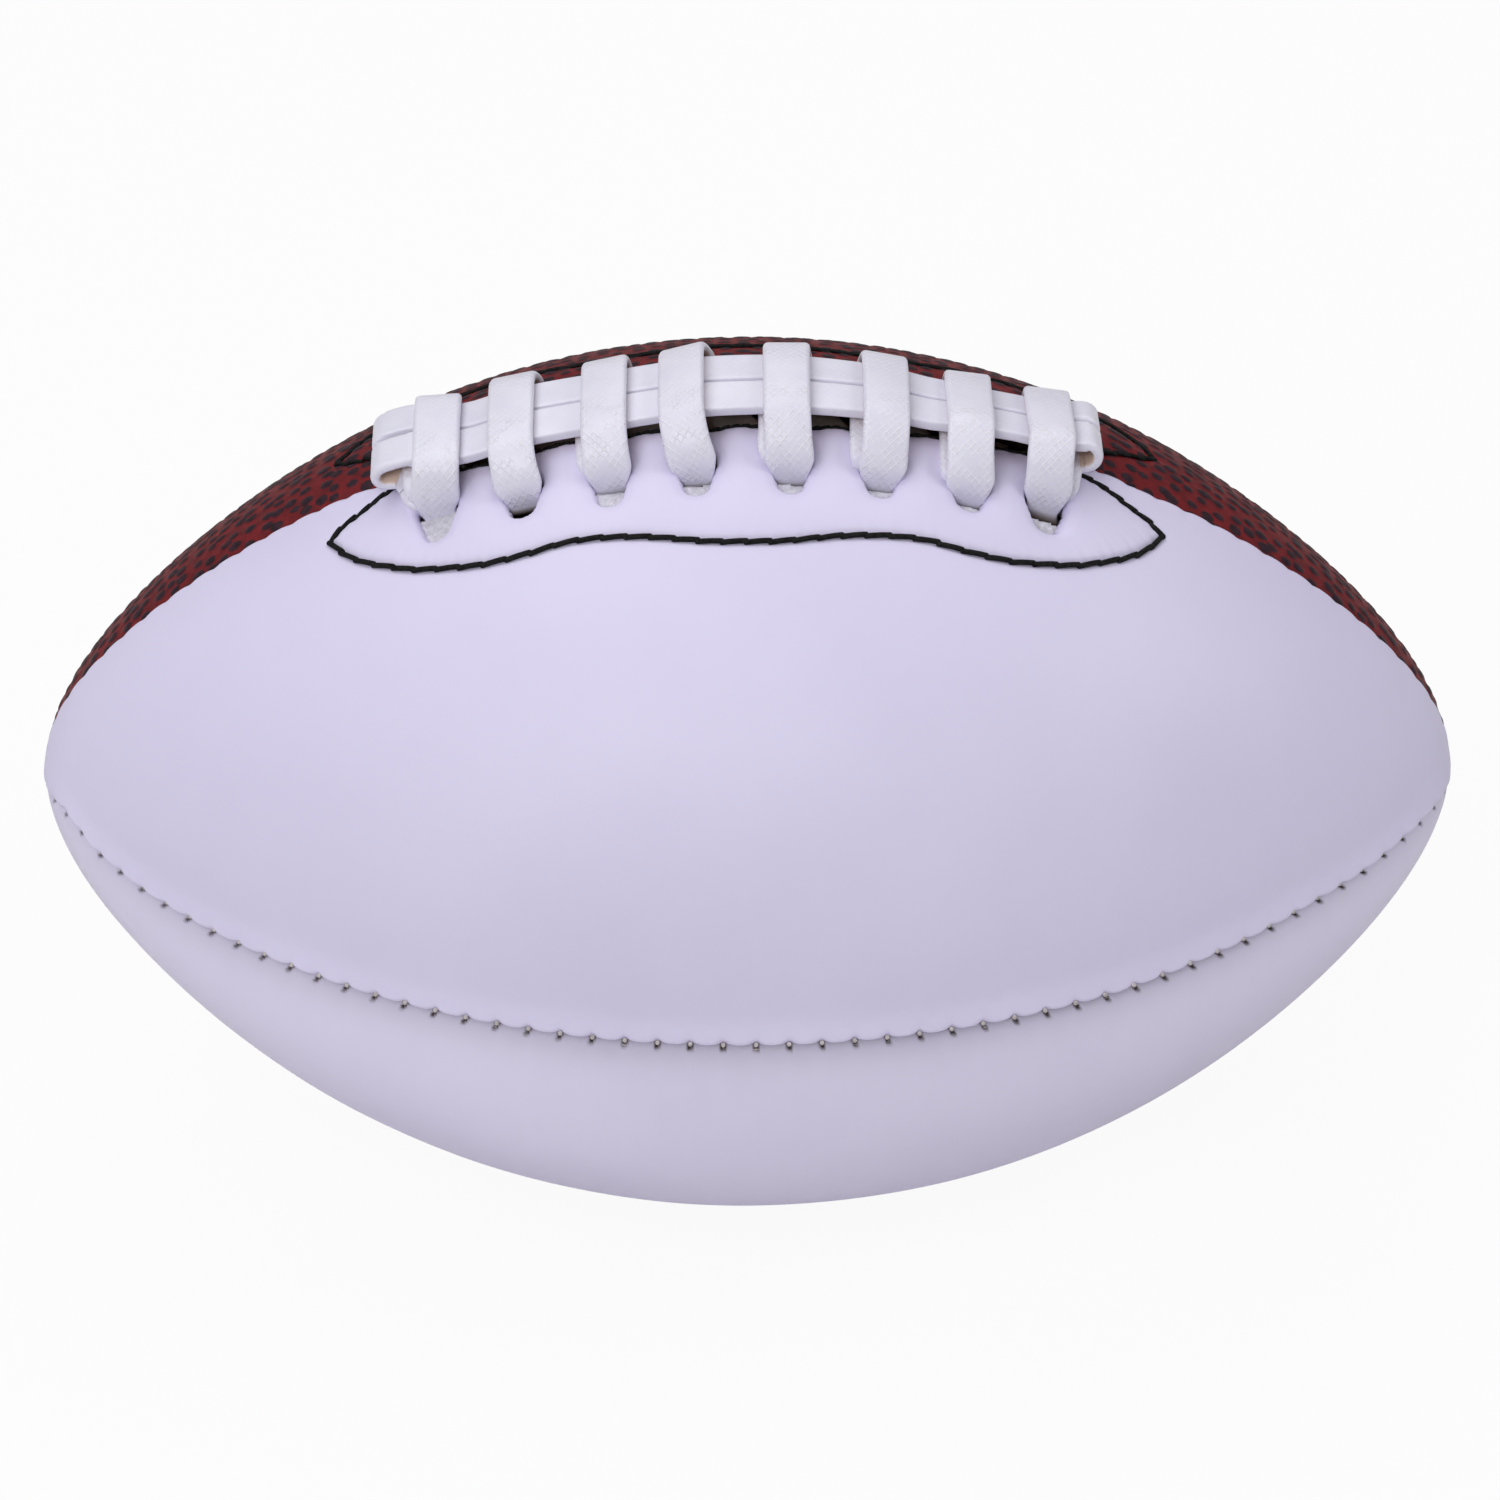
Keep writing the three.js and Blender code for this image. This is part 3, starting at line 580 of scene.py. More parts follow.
# Dark brown for painted shade at the needle holes, under the front panel's lip and in the slit, and for the
# slit lip's black binding
SHADE_AND_BINDING_TONE = (0.055, 0.038, 0.034)
BACK_TONE = (0.7, 0.53, 0.42)
RIDGE_HIGHLIGHT = (0.9, 0.886, 0.97)
HIDDEN_SHADE = (0.2, 0.14, 0.115)


def material_tree(name):
    material = bpy.data.materials.new(name)
    material.use_nodes = True
    tree = material.node_tree
    return material, tree, tree.nodes["Principled BSDF"]


def feed(tree, value, socket):
    """Links another node's output to a socket, or sets a constant there."""
    if isinstance(value, bpy.types.NodeSocket):
        tree.links.new(value, socket)
    else:
        socket.default_value = value


def add_node(tree, kind, settings=None, **inputs):
    node = tree.nodes.new(kind)
    for key, value in (settings or {}).items():
        setattr(node, key, value)
    for key, value in inputs.items():
        feed(tree, value, node.inputs[key.replace("_", " ")])
    return node


def noise(tree, scale, detail, roughness=0.5):
    place = add_node(tree, "ShaderNodeTexCoord").outputs["Object"]
    node = add_node(tree, "ShaderNodeTexNoise", Vector=place, Scale=scale, Detail=detail, Roughness=roughness)
    return node.outputs["Fac"]


def math_node(tree, operation, first, second=0.0):
    node = add_node(tree, "ShaderNodeMath", {"operation": operation})
    feed(tree, first, node.inputs[0])
    feed(tree, second, node.inputs[1])
    return node.outputs[0]


def ramp(tree, factor, stops):
    node = add_node(tree, "ShaderNodeValToRGB", Fac=factor)
    for element, (place, color) in zip(node.color_ramp.elements, stops):
        element.position = place
        element.color = (*color, 1)
    return node.outputs["Color"]


def mix_color(tree, factor, first, second):
    """Mixes a colour from another node with a second one, which may be constant."""
    node = add_node(tree, "ShaderNodeMix", {"data_type": "RGBA"})
    feed(tree, factor, node.inputs[MIX_FACTOR])
    feed(tree, first, node.inputs[MIX_FIRST])
    feed(tree, (*second, 1) if isinstance(second, tuple) else second, node.inputs[MIX_SECOND])
    return node.outputs[MIX_RESULT]


def attribute(tree, name, output="Fac"):
    return add_node(tree, "ShaderNodeAttribute", {"attribute_name": name}).outputs[output]


def surface(tree, bsdf, color, height, strength, depth, gloss, roughness, specular=0.5):
    """Joins a colour, a height for the bump and a pattern of roughness to the shader."""
    tree.links.new(color, bsdf.inputs["Base Color"])
    relief = add_node(tree, "ShaderNodeBump", Height=height, Strength=strength, Distance=depth * MM)
    tree.links.new(relief.outputs["Normal"], bsdf.inputs["Normal"])
    spread = add_node(tree, "ShaderNodeMapRange", Value=gloss, To_Min=roughness[0], To_Max=roughness[1])
    tree.links.new(spread.outputs[0], bsdf.inputs["Roughness"])
    bsdf.inputs["Specular IOR Level"].default_value = specular


def white_cover(name, dark, light):
    material, tree, bsdf = material_tree(name)
    tone = ramp(tree, noise(tree, 24, 4), [(0.3, dark), (0.7, light)])
    # Painted shade, and the slit lip's black binding, from the mask that the cover's shapes give
    darkened = mix_color(tree, attribute(tree, "stitch"), tone, SHADE_AND_BINDING_TONE)
    creases = math_node(tree, "MULTIPLY", noise(tree, 260, 4), 1.4)
    grain = math_node(tree, "ADD", noise(tree, 1500, 3), creases)
    surface(tree, bsdf, darkened, grain, strength=0.22, depth=0.12,
            gloss=noise(tree, 90, 4), roughness=(0.4, 0.52), specular=0.28)
    return material


def brown_cover():
    material, tree, bsdf = material_tree("brown_cover")
    red = ramp(tree, noise(tree, 420, 4), [(0.3, (0.105, 0.008, 0.011)), (0.72, (0.195, 0.0135, 0.0175))])
    dark = ramp(tree, noise(tree, 700, 3), [(0.3, (0.014, 0.006, 0.011)), (0.75, (0.045, 0.018, 0.028))])
    top = add_node(tree, "ShaderNodeMapRange", {"interpolation_type": "SMOOTHSTEP"},
                   Value=attribute(tree, "pebble"), From_Min=0.12, From_Max=0.6)
    surface(tree, bsdf, mix_color(tree, top.outputs[0], red, dark), noise(tree, 1300, 4, 0.6),
            strength=0.35, depth=0.15, gloss=noise(tree, 300, 3), roughness=(0.46, 0.62), specular=0.17)
    return material


def lace_plastic():
    """Moulded strip: crossed fine ridges from its own length and width, broken into short dashes, with
    painted highlights along the ridges.
    """
    material, tree, bsdf = material_tree("lace_plastic")
    tone = ramp(tree, noise(tree, 160, 4), [(0.3, (0.745, 0.725, 0.845)), (0.7, (0.79, 0.775, 0.885))])
    # A darker tan on the faces turned towards the ball
    backed = mix_color(tree, attribute(tree, "underside"), tone, BACK_TONE)
    strip = add_node(tree, "ShaderNodeSeparateXYZ", Vector=attribute(tree, "strip", "Vector")).outputs
    ridges = []
    for way in (1.0, -1.0):
        slanted = math_node(tree, "ADD", strip[0], math_node(tree, "MULTIPLY", strip[1], way))
        wave = math_node(tree, "SINE", math_node(tree, "MULTIPLY", slanted, math.tau / HATCH_PITCH))
        ridges.append(math_node(tree, "POWER", math_node(tree, "MAXIMUM", wave, 0.0), 4.0))
    patches = add_node(tree, "ShaderNodeMapRange", Value=noise(tree, 420, 2), From_Min=0.36, From_Max=0.64)
    broken = math_node(tree, "MULTIPLY", math_node(tree, "MAXIMUM", *ridges), patches.outputs[0])
    hatch = math_node(tree, "MULTIPLY", broken, strip[2])
    # Painted highlights along the ridges
    highlighted = mix_color(tree, hatch, backed, RIDGE_HIGHLIGHT)
    # Painted shade on the lace where it runs inside the ball
    shaded_inside = mix_color(tree, attribute(tree, "inside"), highlighted, HIDDEN_SHADE)
    grain = math_node(tree, "MULTIPLY", noise(tree, 500, 3), 0.25)
    surface(tree, bsdf, shaded_inside, math_node(tree, "ADD", hatch, grain), strength=0.74, depth=0.17,
            gloss=noise(tree, 380, 3), roughness=(0.28, 0.42))
    bsdf.inputs["Subsurface Weight"].default_value = 0.08
    bsdf.inputs["Subsurface Radius"].default_value = (0.002, 0.0018, 0.0016)
    return material


def thread(name, dark, light):
    material, tree, bsdf = material_tree(name)
    tone = ramp(tree, noise(tree, 1500, 3), [(0.3, dark), (0.75, light)])
    surface(tree, bsdf, tone, noise(tree, 2600, 3, 0.65), strength=0.8, depth=0.2,
            gloss=noise(tree, 900, 2), roughness=(0.65, 0.9), specular=0.12)
    return material


def cloth(name, dark, light, scale):
    material, tree, bsdf = material_tree(name)
    tone = ramp(tree, noise(tree, scale, 5, 0.7), [(0.3, dark), (0.7, light)])
    surface(tree, bsdf, tone, noise(tree, 2 * scale, 4, 0.7), strength=0.9, depth=0.3,
            gloss=noise(tree, scale, 3), roughness=(0.82, 0.98))
    return material


WHITE_COVER = white_cover("white_cover", (0.705, 0.66, 0.87), (0.735, 0.69, 0.9))
# The lower panel is the front panel's leather in a lighter tone, as painted light
LIGHTER_LOWER_COVER = white_cover("white_cover_lower_lit", (0.775, 0.725, 0.925), (0.805, 0.755, 0.95))
BROWN_COVER = brown_cover()
LACE = lace_plastic()
BLACK_THREAD = thread("black_thread", (0.004, 0.004, 0.004), (0.02, 0.02, 0.02))
PALE_THREAD = thread("seam_thread", (0.45, 0.41, 0.4), (0.72, 0.67, 0.68))
FELT = cloth("felt", (0.5, 0.485, 0.54), (0.82, 0.8, 0.88), 900)
CLOTH = cloth("lining_cloth", (0.5, 0.48, 0.44), (0.68, 0.66, 0.61), 1100)
TONGUE = cloth("tongue_felt", (0.06, 0.04, 0.032), (0.16, 0.105, 0.085), 800)
RUBBER = cloth("rubber", (0.012, 0.011, 0.01), (0.03, 0.029, 0.028), 500)


# Grids over the cover
def columns(fine, coarse):
    """Stations along the ball, fine up to a reach on both sides of its middle."""
    end = float(arc_at(TIP_STATION))
    half = np.concatenate([
        np.arange(0, FINE_REACH, fine),
        np.linspace(FINE_REACH, end, int((end - FINE_REACH) / coarse) + 2),
    ])
    return station_at_arc(np.concatenate([-half[:0:-1], half]))


def rows(fine, coarse, reach_first, reach_last):
    """Distances across a quarter at the middle of the ball, close together at both seams."""
    edge = EDGE_ROWS[-1]
    first = max(edge, reach_first)
    last = quarter_arc - reach_last
    places = [EDGE_ROWS]
    for start, end, step in ((edge, first, fine), (first, last, coarse), (last, quarter_arc - edge, fine)):
        if end - start > LEAST_STRETCH:
            places.append(np.linspace(start, end, int((end - start) / step) + 2)[1:])
    places.append(quarter_arc - EDGE_ROWS[::-1][1:])
    return np.concatenate(places)


def seam_line(station):
    """How far a seam wanders between its stitches, towards the panel that overlaps it."""
    bulge = np.abs(np.sin(math.pi * (arc_at(station) - SEAM_PHASE) / SEAM_PITCH))
    return SEAM_SCALLOP * (bulge - SCALLOP_MIDDLE) * tip_fade(station, SCALLOP_FADE)


def front_seam(station):
    """The seam under the front panel, which climbs a little near the tips."""
    x, radius = outline(station)[:2]
    return seam_line(station) - radius * np.radians(np.interp(x, *zip(*SEAM_DRIFT)))


def slit_half(station):
    """Half the slit's width, which closes towards its ends and is pulled wider at one place."""
    x = outline(station)[0]
    along = np.clip(np.abs(x) / (SLIT_LENGTH / 2), 0, 1)
    return (SLIT_WIDTH / 2 + hump(SLIT_PULL, PULL_REACH, x - PULL_PLACE)) * (1 - along ** 3) ** 0.5


def slit_edge(side):
    """The lace seam: a seam past the slit's ends, and the lip of the slit between them."""
    def edge(station):
        half = slit_half(station)
        middle = band_offset(outline(station)[0])
        return middle + side * half - LACE_SCALLOP * seam_line(station) * np.clip(1 - half, 0, 1)
    return edge


def stitch_offset(station):
    """Distance along a seam from its nearest stitch."""
    return (arc_at(station) - SEAM_PHASE + SEAM_PITCH / 2) % SEAM_PITCH - SEAM_PITCH / 2


def rolled(distance, radius):
    """Height of an edge that is rolled over a radius, at a distance from it."""
    inner = np.clip(radius - distance, 0, None)
    return np.sqrt(np.maximum(radius ** 2 - inner ** 2, 0)) - radius


def seam_shape(station, distance, relief, roll=SEAM_ROLL, valley=SEAM_VALLEY):
    """Height of a panel near a seam: a rolled edge, a swell or dip beside it and a tug at each stitch."""
    swell, reach, tug = relief
    fade = tip_fade(station, SEAM_FADE, LEAST_FADE)
    full = fullness(station)
    pulled = hump(tug, TUG_LENGTH, stitch_offset(station)) * hump(1.0, TUG_REACH, distance)
    dip = hump(valley * full, VALLEY_REACH * full, distance)
    return rolled(distance, roll * fade) + (hump(swell, reach, distance) - pulled) * fade - dip


def facing_lines():
    """The facing line in three runs: from the slit to one tip, from tip to tip, and back to the slit."""
    left = [(-x, across) for x, across in FACING_OUTLINE]
    right = FACING_OUTLINE[::-1]
    tip_to_tip = left[FACING_TIP:] + right[1:len(right) - FACING_TIP]
    runs = left[:FACING_TIP + 1], tip_to_tip, right[-FACING_TIP - 1:]
    return [curve_through(run) for run in runs]


FACING_RUNS = facing_lines()
FACING_CURVE = np.concatenate([FACING_RUNS[0], FACING_RUNS[1][1:], FACING_RUNS[2][1:]])


def near_line(points, line):
    """Distance from points to a line of many spans, and how far along it the nearest place is."""
    step = np.diff(line, axis=0)
    length = np.hypot(*step.T)
    along = lengths_along(line)
    best = np.full(len(points), np.inf)
    place = np.zeros(len(points))
    for k in range(len(step)):
        local = points - line[k]
        t = np.clip(local @ step[k] / length[k] ** 2, 0, 1)
        away = np.hypot(*(local - t[:, None] * step[k]).T)
        closer = away < best
        best[closer] = away[closer]
        place[closer] = along[k] + t[closer] * length[k]
    return best, place


def inside_line(points, line):
    """Whether each point lies between a line and the middle of the lacing."""
    ring = np.concatenate([line, [[line[-1, 0], 0], [line[0, 0], 0], line[0]]])
    inside = np.zeros(len(points), bool)
    for (start_x, start_y), (end_x, end_y) in zip(ring, ring[1:]):
        crosses = (start_y > points[:, 1]) != (end_y > points[:, 1])
        with np.errstate(divide="ignore", invalid="ignore"):
            at = start_x + (points[:, 1] - start_y) * (end_x - start_x) / (end_y - start_y)
        inside ^= crosses & (points[:, 0] < at)
    return inside


def hole_distance(x, across):
    """Signed distance to the nearest lace hole, each a slot that narrows away from the slit."""
    best = np.full(np.shape(x), np.inf)
    past = across - HOLE_TOP
    for place, reach in zip(HOLE_PLACES, HOLE_REACH):
        span = reach - HOLE_BOTTOM_RADIUS - HOLE_TOP
        lean = (HOLE_TOP_RADIUS - HOLE_BOTTOM_RADIUS) / span
        side = math.sqrt(1 - lean ** 2)
        beside = np.abs(x - place)
        along = side * past - lean * beside
        to_top = np.hypot(beside, past) - HOLE_TOP_RADIUS
        to_bottom = np.hypot(beside, past - span) - HOLE_BOTTOM_RADIUS
        to_side = beside * side + past * lean - HOLE_TOP_RADIUS
        away = np.where(along < 0, to_top, np.where(along > side * span, to_bottom, to_side))
        best = np.minimum(best, away)
    return best


def rear_shift(x):
    """How much further from the seam the rear facing line runs near its tips."""
    return REAR_SHIFT * smoothstep(*REAR_SHIFT_START, np.abs(x))


def lacing_shape(x, across, padding, shift=0.0):
    """Height of the cover round the lacing, and the signed distance to its holes."""
    height = np.zeros(x.shape)
    hole = np.full(x.shape, FAR)
    near = (np.abs(x) < LACING_AREA[0]) & (across < LACING_AREA[1])
    near_x = x[near]
    near_across = across[near]
    points = np.stack([near_x, (across - shift)[near]], 1)
    away, along = near_line(points, FACING_CURVE)
    inside = inside_line(points, FACING_CURVE)
    depth = np.where(inside, away, -away)
    within = np.clip(depth, 0, None)
    padded = padding * (1 - np.exp(-within / PADDING_REACH))
    groove = hump(*GROOVE, depth) + hump(*HOLLOW, depth)
    waves = sum(size * np.sin(math.tau * along / pitch + phase) for pitch, size, phase in CRIMP_WAVES)
    crimp = CRIMP[0] * padding * np.exp(-within / CRIMP[1]) * inside * waves
    hole_away = hole_distance(near_x, near_across)
    outside = np.clip(hole_away, 0, None)
    rim = hump(*HOLE_RIM, outside) + hump(*HOLE_SAG, outside)
    wall = HOLE_WALL[0] * smoothstep(0.0, HOLE_WALL[1], -hole_away)
    count = np.interp(near_x, HOLE_PLACES, np.arange(len(HOLE_PLACES)))
    between = 0.5 - 0.5 * np.cos(math.tau * count)
    pillow = hump(*PILLOW, near_across - PILLOW_PLACE) * between * smoothstep(*PILLOW_START, near_x)
    height[near] = padded - groove + crimp - rim - wall + pillow
    hole[near] = hole_away
    return height, hole


def soft_waves(points):
    """Slow unevenness of stretched leather."""
    x, y, z = np.moveaxis(points, -1, 0)
    return (0.05 * np.sin(x / 17 + y / 23 + 0.4) * np.sin(z / 19 - x / 31)
            + 0.035 * np.sin(x / 7.3 - z / 9.1 + 2.0) * np.sin(y / 8.4 + 1.1))


def pebbles(points, spots):
    """Pebble height from 0 to 1 at each point, from the nearest of the scattered spots."""
    tree = KDTree(len(spots))
    for index, spot in enumerate(spots):
        tree.insert(spot, index)
    tree.balance()
    sizes = np.random.default_rng(PEBBLE_SEED + 1).uniform(*PEBBLE_SIZES, len(spots)) * PEBBLE_RADIUS
    found = np.array([tree.find(point)[1:3] for point in points.reshape(-1, 3)])
    ratio = found[:, 1] / sizes[found[:, 0].astype(int)]
    dome = np.clip(1 - ratio ** 2, 0, 1)
    return (1 - (1 - dome) ** 2).reshape(points.shape[:-1])


def pebble_spots(start):
    """Jittered rows of spots over a quarter of the ball."""
    spread = np.random.default_rng(PEBBLE_SEED)
    spots = []
    end = float(arc_at(TIP_STATION))
    for row, arc in enumerate(np.arange(-end, end, PEBBLE_PITCH * PEBBLE_ROWS)):
        radius = outline(station_at_arc(arc))[1]
        steps = max(2, int(radius * QUARTER / PEBBLE_PITCH))
        for k in range(steps + 1):
            shift = spread.uniform(-PEBBLE_JITTER, PEBBLE_JITTER, 2) * PEBBLE_PITCH
            station = station_at_arc(arc + shift[0])
            angle = start + QUARTER * (k + 0.5 * (row % 2)) / steps + shift[1] / max(radius, LEAST_RADIUS)
            spots.append(ball_point(station, angle, 0.0))
    return np.array(spots)


def cover_panel(name, start, edges, stations, places, shape, material, slot):
    """One quarter of the cover between two seams, with turned-in edges. shape gives its relief."""
    radius = outline(stations)[1][:, None]
    first = start + (edges[0](stations)[:, None] + SKIN_GAP / 2) / radius
    last = start + QUARTER + (edges[1](stations)[:, None] - SKIN_GAP / 2) / radius
    angle = first + (last - first) * (places / quarter_arc)[None, :]
    station = np.broadcast_to(stations[:, None], angle.shape)
    from_first = (angle - first) * radius
    to_last = (last - angle) * radius
    height, keep_point, values = shape(station, angle, from_first, to_last)

    flange = SEAM_FLANGE * tip_fade(stations, FLANGE_FADE, LEAST_FLANGE)[:, None]
    angle = np.concatenate([first, first, angle, last, last], 1)
    height = np.concatenate([
        height[:, :1] - flange, height[:, :1] - flange / 2, height,
        height[:, -1:] - flange / 2, height[:, -1:] - flange], 1)
    pad = ((0, 0), (2, 2))
    edge_distance = np.pad(np.minimum(from_first, to_last), pad)
    keep_point = np.pad(keep_point, pad, constant_values=True)
    values = {key: np.pad(value, pad, mode="edge") for key, value in values.items()}

    wall = np.minimum(PANEL_THICKNESS, WALL_SHARE * radius * (last - first))
    inner_angle = np.clip(angle, first + wall / radius, last - wall / radius)
    inner_height = height - wall * np.clip(edge_distance / wall, 0, 1)
    station = np.broadcast_to(stations[:, None], angle.shape)
    top = ball_point(station, angle, height)
    bottom = ball_point(station, inner_angle, inner_height)
    points, faces, source = slab(top, bottom, keep_point, BOTTOM_BLOCK)
    piece = add_piece(name + "_cover", points, faces, material, slot, name)
    for key, value in values.items():
        add_values(piece, key, value.ravel()[source])


def needle_hole_dent_and_shade(station, distance):
    """Spots at the needle holes just under the edge of a seam, where the cover is dented and painted darker
    as painted shade.
    """
    offset = stitch_offset(station) - STITCH_SLANT * outline(station)[2] * distance
    spot = np.exp(-(offset / HOLE_SPOT_WIDTH) ** 4 - ((distance - HOLE_SPOT_PLACE) / HOLE_SPOT_REACH) ** 4)
    return spot * tip_fade(station, HOLE_SPOT_FADE)


def white_front_shape(station, angle, from_first, to_last):
    x, radius = outline(station)[:2]
    height, hole = lacing_shape(x, angle * radius, WHITE_PADDING)
    height += seam_shape(station, from_first, LACE_SEAM)
    height += seam_shape(station, to_last, FRONT_SEAM, FRONT_ROLL, FRONT_VALLEY)
    height += soft_waves(ball_point(station, angle, 0.0))
    # The slit's lip is painted dark in scallops: partly its black binding, partly painted shade in the slit
    # under the band
    scallop = LIP_SCALLOP[0] + LIP_SCALLOP[1] * np.abs(np.sin(math.pi * arc_at(station) / LIP_STITCH))
    lip = smoothstep(scallop + LIP_SOFTNESS, scallop - LIP_SOFTNESS, from_first)
    return height, hole > HOLE_TRIM, {"stitch": (slit_half(station) > SLIT_OPEN) * lip}


def white_lower_shape(station, angle, from_first, to_last):
    full = fullness(station)
    pits = needle_hole_dent_and_shade(station, from_first)
    height = seam_shape(station, from_first, UNDER_SEAM, SEAM_ROLL, FRONT_VALLEY) - PIT_DEPTH * pits
    height += seam_shape(station, to_last, BOTTOM_SEAM)
    height += hump(LOWER_BULGE * full, BULGE_REACH, from_first / full - BULGE_PLACE)
    height += soft_waves(ball_point(station, angle, 0.0))
    # A painted shadow under the front panel's lip, and painted shade in the needle holes, both mixed to dark
    # brown by the material
    seam_shadow = PAINTED_SEAM_SHADOW * np.sqrt(full) * np.exp(-(from_first / SEAM_SHADOW_REACH) ** 1.5)
    return height, np.ones(angle.shape, bool), {"stitch": np.clip(HOLE_SHADE_SHARE * pits + seam_shadow, 0, 1)}


def brown_shape(start, lacing_side):
    spots = pebble_spots(start)

    def shape(station, angle, from_first, to_last):
        x, radius = outline(station)[:2]
        place = ball_point(station, angle, 0.0)
        raised = pebbles(place, spots)
        edge = np.minimum(from_first, to_last)
        height = seam_shape(station, from_first, BROWN_SEAM) + seam_shape(station, to_last, BROWN_SEAM)
        share = EDGE_PEBBLES + (1 - EDGE_PEBBLES) * smoothstep(*PEBBLE_EDGE, edge)
        height += PEBBLE_HEIGHT * raised * share
        height -= BROWN_SINK * fullness(station) * smoothstep(*SINK_REACH, edge)
        keep = np.ones(angle.shape, bool)
        if lacing_side:
            lacing, hole = lacing_shape(x, (math.tau - angle) * radius, BROWN_PADDING, rear_shift(x))
            away = np.linalg.norm(np.cross(place, valve_outward), axis=-1) + FAR * (place @ valve_outward < 0)
            valve_edge = away - VALVE_PLUG / 2
            height += lacing + rolled(np.clip(valve_edge - VALVE_RIM, 0, None), VALVE_RIM_ROLL)
            height -= VALVE_WALL * smoothstep(VALVE_RIM, VALVE_TRIM, valve_edge)
            keep = (hole > HOLE_TRIM) & (valve_edge > VALVE_TRIM)
            # The slit's lip takes the dark pebble colour: partly its black binding, partly painted shade in
            # the slit
            lip = (slit_half(station) > SLIT_OPEN) * smoothstep(*BROWN_LIP, to_last)
            raised = np.maximum(raised, lip)
        return height, keep, {"pebble": raised}
    return shape


def make_cover():
    cover_panel("panel_white_front", 0.0, (slit_edge(1), front_seam), columns(fine=0.5, coarse=0.8),
                rows(fine=0.5, coarse=1.7, reach_first=38, reach_last=8),
                white_front_shape, WHITE_COVER, "white_cover")
    cover_panel("panel_white_lower", QUARTER, (front_seam, seam_line), columns(fine=0.42, coarse=0.42),
                rows(fine=0.8, coarse=2.0, reach_first=10, reach_last=5),
                white_lower_shape, LIGHTER_LOWER_COVER, "white_cover")
    cover_panel("panel_brown_lower", 2 * QUARTER, (seam_line, seam_line), columns(fine=0.72, coarse=0.8),
                rows(fine=0.75, coarse=0.75, reach_first=8, reach_last=8),
                brown_shape(2 * QUARTER, lacing_side=False), BROWN_COVER, "brown_cover")
    cover_panel("panel_brown_rear", 3 * QUARTER, (seam_line, slit_edge(-1)), columns(fine=0.64, coarse=0.84),
                rows(fine=0.68, coarse=0.86, reach_first=8, reach_last=40),
                brown_shape(3 * QUARTER, lacing_side=True), BROWN_COVER, "brown_cover")


# Stitches
def capsule(centre, along, up, length, thickness, rise):
    """A short thread with round ends, arched by a rise in its middle."""
    along = along / np.linalg.norm(along)
    up = up - along * (up @ along)
    up = up / np.linalg.norm(up)
    side = np.cross(along, up)
    radius = thickness / 2
    turns = np.linspace(0, math.tau, THREAD_SIDES, endpoint=False)
    caps = np.radians([5, 40, 70, 90])
    ends = [(-length / 2 + radius * (1 - math.cos(cap)), math.sin(cap)) for cap in caps]
    shaft = [(share * length / 2, 1.0) for share in (-0.4, 0.0, 0.4)]
    rings = []
    for place, width in [*ends, *shaft, *((-place, width) for place, width in ends[::-1])]:
        bend = rise * (1 - (2 * place / length) ** 2)
        middle = centre + along * place + up * bend
        rings.append([middle + radius * width * (math.cos(t) * side + math.sin(t) * up) for t in turns])
    return loft(np.array(rings))


def thread_row(line, relief, pitch, thickness, slant, overlap):
    """Stitches end to end along a line of places with their heights, each turned off the line."""
    along = lengths_along(line)
    count = round(along[-1] / pitch)

    def at(distance):
        return [np.interp(distance, along, values) for values in (*line.T, relief)]

    stitches = []
    for k in range(count):
        mid = (k + 0.5) * along[-1] / count
        x, across, height = at(mid)
        centre = lace_point(x, across, height)
        up = lace_point(x, across, height + 1) - centre
        tangent = lace_point(*at(mid + 0.5)) - lace_point(*at(mid - 0.5))
        tangent = np.array(Matrix.Rotation(slant, 3, Vector(up)) @ Vector(tangent))
        stitches.append(capsule(centre, tangent, up, pitch + overlap, thickness, THREAD_ARCH * thickness))
    return joined(stitches)


def seam_stitches(angle, line, first, last, ends):
    """Short threads across a seam, one at each needle hole, between two places beside it."""
    stitches = []
    low, high = (math.ceil((float(arc_at(end)) - SEAM_PHASE) / SEAM_PITCH) for end in (first, last))
    for k in range(low, high):
        arc = k * SEAM_PITCH + SEAM_PHASE
        station = station_at_arc(arc)
        radius, slide = outline(station)[1:3]
        middle = angle + float(line(station)) / radius
        full = float(fullness(station))
        start, end = (
            ball_point(station_at_arc(arc + STITCH_SLANT * float(slide) * place), middle + place / radius,
                       at_tip + (at_middle - at_tip) * full)
            for place, at_tip, at_middle in ends)
        up = ball_point(station, middle, 1.0) - ball_point(station, middle, 0.0)
        along = end - start
        length = np.linalg.norm(along) + SEAM_THREAD
        stitches.append(capsule((start + end) / 2, along, up, length, SEAM_THREAD, SEAM_ARCH))
    return joined(stitches)


def make_facing_stitches(name, side):
    short = (SHORT_STITCH, SHORT_SLANT)
    runs = []
    for run, (pitch, slant) in zip(FACING_RUNS, (short, (FACING_STITCH, FACING_SLANT), short)):
        x, across = run.T
        line = run if side > 0 else np.stack([x, -across - rear_shift(x)], 1)
        relief = np.full(len(line), FACING_SINK[side])
        runs.append(thread_row(line, relief, pitch, FACING_THREAD[side], side * slant, FACING_OVERLAP))
    add_piece(f"facing_stitches_{name}", *joined(runs), BLACK_THREAD, "black_thread",
              f"facing_thread_{name}")


